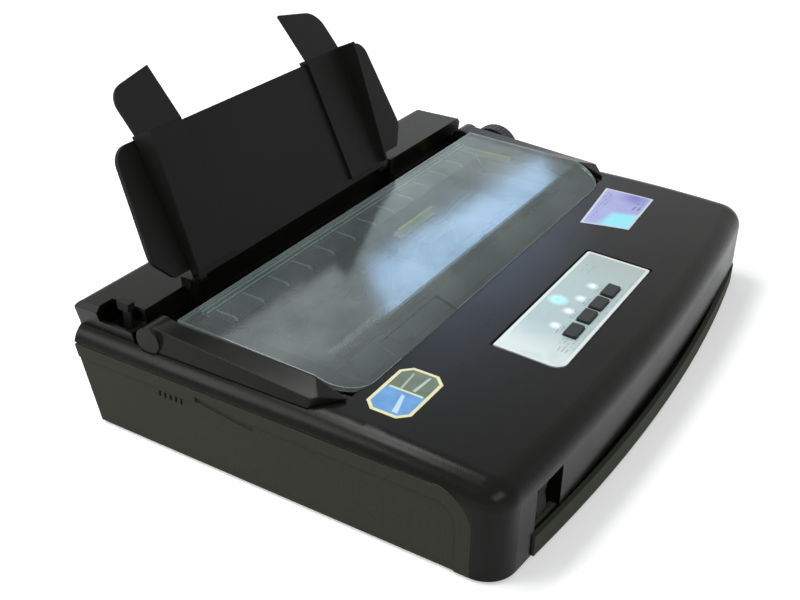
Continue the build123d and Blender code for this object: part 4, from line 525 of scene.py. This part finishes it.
def words(tree, plane, corners, row_mm, stroke_mm):
    """Greeked words within an outline: strokes from noise that is long in x, and a wave across rows."""
    squeezed = add(tree, "Mapping", {"Vector": plane, "Scale": (1 / stroke_mm, 1 / row_mm, 0)})
    letters = add(tree, "TexNoise", {"Vector": squeezed, "Scale": 1.0, "Detail": 0.0})
    strokes = add(tree, "MapRange", {"Value": letters, "From Min": 0.47, "From Max": 0.53})
    height = add(tree, "SeparateXYZ", {0: plane}).outputs["Y"]
    turns = add(tree, "Math", {0: height, 1: 2 * math.pi / row_mm}, operation="MULTIPLY")
    wave = add(tree, "Math", {0: turns}, operation="SINE")
    rows = add(tree, "MapRange", {"Value": wave, "From Min": -0.1, "From Max": 0.4})
    lines = add(tree, "Math", {0: strokes, 1: rows}, operation="MULTIPLY")
    return add(tree, "Math", {0: inside(tree, plane, corners, 0.0), 1: lines}, operation="MULTIPLY")


# %% Silver film of the control panel
panel_tilt = math.radians(2.858)
panel_middle = at(-12.5, -90.0, 62.55)
panel_outline = rectangle(0, 0, 141, 44)
panel_margin = 2.0
key_x = (-29.5, -9.5, 9.0, 28.0)
ring_centre = (-1.0, 12.0)
word_blocks = (rectangle(-44, -13, 20, 9), rectangle(50, 12, 18, 8), rectangle(0, -18.6, 96, 2.0))

silver_film, tree, shader, place = start_material("silver_printed_film", **{"Metallic": 0.25,
                                                                            "Roughness": 0.34})
plane = film_plane(tree, place, panel_middle, panel_tilt)
across = add(tree, "SeparateXYZ", {0: plane}).outputs["X"]
flakes = add(tree, "TexNoise", {"Vector": place, "Scale": 1 / mm(0.8), "Detail": 1.0})
greyer_right = add(tree, "MapRange", {"Value": across, "From Min": 25, "From Max": 62})
paler_left = add(tree, "MapRange", {"Value": across, "From Min": -30, "From Max": -60})
clouds = add(tree, "TexNoise", {"Vector": place, "Scale": 1 / mm(22)})
greenish = add(tree, "MapRange", {"Value": clouds, "From Min": 0.52, "From Max": 0.75, "To Max": 0.7})
silver = coats(tree, "#9fb2b4", ("#b7c8c9", flakes), ("#a9b7b3", greyer_right), ("#d2dcda", paler_left),
               ("#a3c4bb", greenish))
# a clear margin of unprinted white round the silver
silver = coats(tree, "#d9dfdc", (silver, inside(tree, plane, panel_outline, panel_margin)))

# %% Prints on the silver
for x in key_x:
    silver = coats(tree, silver, ("#e3eff1", spot(tree, plane, x, 1.0, 1.6, 3.2)),
                   ("#7f8f90", words(tree, plane, rectangle(x - 2, -3.6, 11, 3.0), 1.5, 1.6)))
silver = coats(tree, silver, ("#bff0f6", spot(tree, plane, *ring_centre, 3.4, 4.2)))
for corners in word_blocks:
    faint = add(tree, "Math", {0: words(tree, plane, corners, 2.4, 2.6), 1: 0.7}, operation="MULTIPLY")
    silver = coats(tree, silver, ("#93a5a2", faint))
fill(shader, {"Base Color": silver})
dress("control_panel", silver_film)
print("nodes in the panel's material:", len(tree.nodes))

# %% Lamps of the panel
# milky light guides: they glow a little even when the room is bright
milky_lamp, tree, shader, place = start_material("milky_lamp_plastic", **{
    "Roughness": 0.3, "Emission Color": linear("#e9fbff"), "Emission Strength": 0.35})
milk = add(tree, "TexNoise", {"Vector": place, "Scale": 1 / mm(1.0)})
fill(shader, {"Base Color": coats(tree, "#cfdcdf", ("#f0f6f8", milk))})
dress("status_lamps", milky_lamp)
# the power lamp: a cyan ring with a deeper tone in its middle
ring_lamp, tree, shader, place = start_material("ring_lamp_cyan", **{
    "Roughness": 0.3, "Emission Color": linear("#8fe6f4"), "Emission Strength": 0.4})
ring_plane = film_plane(tree, place, panel_middle, panel_tilt)
milk = add(tree, "TexNoise", {"Vector": place, "Scale": 1 / mm(1.5)})
deeper = spot(tree, ring_plane, *ring_centre, 0.8, 1.2)
fill(shader, {"Base Color": coats(tree, "#a8eef8", ("#5fb9cf", deeper), ("#c8f6fb", milk))})
dress("power_lamp", ring_lamp)
print("lamps of the panel:", milky_lamp.name, ring_lamp.name)

# %% [markdown]
# The left label has a cream border round two fields, one blue and one dark olive, with pale stripes. The
# right one is lilac with a cyan corner, a pale border and greeked rows. Both are plain geometric designs,
# and both belong to one solid, so one material holds the two and takes each on its side of the case.

# %% Left label
label_film, tree, shader, place = start_material("printed_vinyl", **{"Roughness": 0.3})
left_plane = film_plane(tree, place, at(-153, -51, 63.9))
half_x, half_y, cut = 23.0, 14.0, 6.0
left_outline = [(-half_x + cut, -half_y), (half_x - cut, -half_y), (half_x, -half_y + cut),
                (half_x, half_y - cut), (half_x - cut, half_y), (-half_x + cut, half_y),
                (-half_x, half_y - cut), (-half_x, -half_y + cut)]
stripes = (("#b9cfe6", [(-19, -6.5), (-3, -1.5), (-3, 0.5), (-19, -3.0)]),
           ("#aeb7b4", [(3, -4.5), (19, -5.5), (19, -4), (3, -2.5)]),
           ("#9aa79b", [(2, 3.0), (18, 4.5), (18, 5.7), (2, 4.6)]),
           ("#c6d2a8", rectangle(0.8, 0, 1.6, 21)))
blotch = add(tree, "TexNoise", {"Vector": place, "Scale": 1 / mm(9), "Detail": 3.0})
blue = coats(tree, "#3f74b8", ("#6ea9d8", blotch))
olive = coats(tree, "#3c4a35", ("#6c7c68", blotch))
left_x = add(tree, "SeparateXYZ", {0: left_plane}).outputs["X"]
right_half = add(tree, "MapRange", {"Value": left_x, "From Min": 0.4, "From Max": 1.6})
left = coats(tree, blue, (olive, right_half),
             *((colour, inside(tree, left_plane, corners, 0.0)) for colour, corners in stripes))
yellowing = add(tree, "TexNoise", {"Vector": place, "Scale": 1 / mm(12)})
cream = coats(tree, "#cfd3a0", ("#e9ddb0", yellowing))
left = coats(tree, cream, (left, inside(tree, left_plane, left_outline, 2.0)))
print("left label: half of it", half_x, "by", half_y, "mm")

# %% Right label
right_middle = (130.5, -60.25)
right_plane = film_plane(tree, place, at(*right_middle, 63.8))
right_outline = [(x - right_middle[0], y - right_middle[1])
                 for x, y in ((161, -39), (95, -46), (104, -79), (162, -76))]
cyan_corner = [(-34, -22), (2, -22), (-8, 1), (-34, 3)]
clouds = add(tree, "TexNoise", {"Vector": place, "Scale": 1 / mm(12), "Detail": 3.0})
right = coats(tree, "#8f95c8", ("#b3b6e6", clouds),
              ("#6f6cc4", spot(tree, right_plane, 25, -4, 2.0, 12.0)),
              ("#8fe3f2", inside(tree, right_plane, cyan_corner, 0.0, 5.0)),
              ("#5a6aa8", words(tree, right_plane, [(6, -14), (24, -12), (20, -6), (4, -7)], 3.4, 3.2)),
              ("#7f80b4", words(tree, right_plane, [(-20, 8), (24, 12), (24, 18), (-24, 12)], 2.6, 2.2)))
right = coats(tree, "#c9cfe0", (right, inside(tree, right_plane, right_outline, 1.6)))
print("right label: middle at", right_middle, "mm")

# %% Both labels on their solid
case_x = add(tree, "SeparateXYZ", {0: place}).outputs["X"]
right_side = add(tree, "Math", {0: case_x, 1: case_middle.x}, operation="GREATER_THAN")
fill(shader, {"Base Color": coats(tree, left, (right, right_side))})
dress("stickers", label_film)
print("still bare:", sorted(set(nodes) - dressed))

# %% [markdown]
# ## The studio
#
# White paper under the printer and a pale room around it. Black plastic shows the room more than it shows
# its lamps, so the large lamps stay weak, and two small ones stand where the printer mirrors them to the
# camera: one shines along the left shoulder, and a bluish panel lies as a patch on the cover's right half.
# Paper and room are white to the eye, to a mirror and through clear plastic, but throw less light back on
# the printer than white would, which keeps its blacks black.

# %% Rays that are seen
def seen_rays(tree):
    """1 for a ray from the eye, off a mirror or through clear plastic, and 0 for one that brings light."""
    rays = add(tree, "LightPath").outputs
    seen = rays["Is Camera Ray"]
    for kind in ("Is Glossy Ray", "Is Transmission Ray"):
        seen = add(tree, "Math", {0: seen, 1: rays[kind]}, operation="MAXIMUM")
    return seen


# %% Floor
floor_half = 3.0
# its glow grows with the distance from the printer, in metres, where the lamps no longer reach
near, near_glow = 0.8, 0.32
far, far_glow = 2.0, 1.0

corners = np.array([[-1, -1, 0], [1, -1, 0], [1, 1, 0], [-1, 1, 0]]) * floor_half
floor_mesh = bpy.data.meshes.new("studio_floor")
floor_mesh.from_pydata(corners.tolist(), [], [(0, 1, 2, 3)])
floor = bpy.data.objects.new("studio_floor", floor_mesh)
bpy.context.scene.collection.objects.link(floor)

paper, tree, shader, place = start_material("studio_white_paper", **{
    "Roughness": 0.9, "Emission Color": (1, 1, 1, 1)})
seen = seen_rays(tree)
distance = add(tree, "VectorMath", {0: place}, operation="LENGTH").outputs["Value"]
glow = add(tree, "MapRange", {"Value": distance, "From Min": near, "From Max": far,
                              "To Min": near_glow, "To Max": far_glow})
fibres = add(tree, "TexNoise", {"Vector": place, "Scale": 1 / mm(3)})
bump = add(tree, "Bump", {"Height": fibres, "Distance": mm(0.02), "Strength": 0.2})
fill(shader, {"Base Color": coats(tree, "#55554f", ("#fbfbfb", seen)), "Normal": bump,
              "Emission Strength": add(tree, "Math", {0: seen, 1: glow}, operation="MULTIPLY")})
floor_mesh.materials.append(paper)
print("floor:", 2 * floor_half, "m wide")

# %% World
world = bpy.data.worlds.new("studio")
world.use_nodes = True
bpy.context.scene.world = world
tree = world.node_tree
tree.nodes.clear()
room = add(tree, "Background", {"Color": linear("#e8ecea"), "Strength": 0.4})
white = add(tree, "Background", {"Color": (1, 1, 1, 1), "Strength": 1.0})
add(tree, "OutputWorld", {"Surface": add(tree, "MixShader", {0: seen_rays(tree), 1: room, 2: white})})
print("world:", world.name)


# %% Lamps
def soft_lamp(name, place, aim, size, power, colour="#ffffff", along=(1, 0, 0)):
    """An area lamp of a size in metres, facing a point, its first side along a direction."""
    light = bpy.data.lights.new(name, "AREA")
    light.shape = "RECTANGLE"
    light.size, light.size_y = size
    light.energy = power
    light.color = linear(colour)[:3]
    lamp = bpy.data.objects.new(name, light)
    away = (Vector(place) - Vector(aim)).normalized()
    side = (Vector(along) - Vector(along).dot(away) * away).normalized()
    facing = Matrix((side, away.cross(side), away)).transposed()
    lamp.matrix_world = Matrix.Translation(place) @ facing.to_4x4()
    lamp.visible_camera = False
    bpy.context.scene.collection.objects.link(lamp)
    print(name, "shines with", power, "W")


soft_lamp("front_fill", (-0.9, -1.3, 0.9), at(0, -100, 50), (1.0, 0.6), 8)
soft_lamp("left_key", (-1.0, 0.75, 0.75), at(-200, 80, 40), (0.6, 0.6), 6)
soft_lamp("top_light", (0.02, 0.52, 1.4), at(0, 0, 0), (0.45, 0.45), 7.5)
soft_lamp("blue_panel", at(965, 440, 648), at(11, -2, 73), (0.36, 0.12), 0.62, "#a4c2ee",
          along=(273, -129, -98))
soft_lamp("shoulder_lamp", at(-393, 315, 952), at(-193, -65, 62), (0.3, 0.2), 2.6)

# %% [markdown]
# ## The camera
#
# It stands about 0.75 m from the printer, to its front left and well above it. Such a near stand makes the
# front left corner loom and the far side shrink, as in the photograph, and a longer lens from further off
# would not. Its axes are worked out from two angles and a slight roll.

# %% Camera
eye = at(-575.2, -299.4, 400.6)
azimuth, elevation, roll = map(math.radians, (-59.1, 29.7, 0.9))
back = Vector((math.sin(azimuth) * math.cos(elevation), -math.cos(azimuth) * math.cos(elevation),
               math.sin(elevation)))
level_right = (-back).cross(Vector((0, 0, 1))).normalized()
level_up = level_right.cross(-back)
right_way = math.cos(roll) * level_right + math.sin(roll) * level_up
up_way = -math.sin(roll) * level_right + math.cos(roll) * level_up
camera_data = bpy.data.cameras.new("camera")
camera_data.sensor_width = 36
camera_data.lens = 49.5
camera_data.clip_start = 0.01
camera = bpy.data.objects.new("camera", camera_data)
turn = Matrix((right_way, up_way, back)).transposed()
camera.matrix_world = Matrix.Translation(eye) @ turn.to_4x4()
bpy.context.scene.collection.objects.link(camera)
bpy.context.scene.camera = camera
bpy.context.scene.view_settings.view_transform = "Standard"
print("camera:", round((eye - case_middle).length, 3), "m from the case's middle")
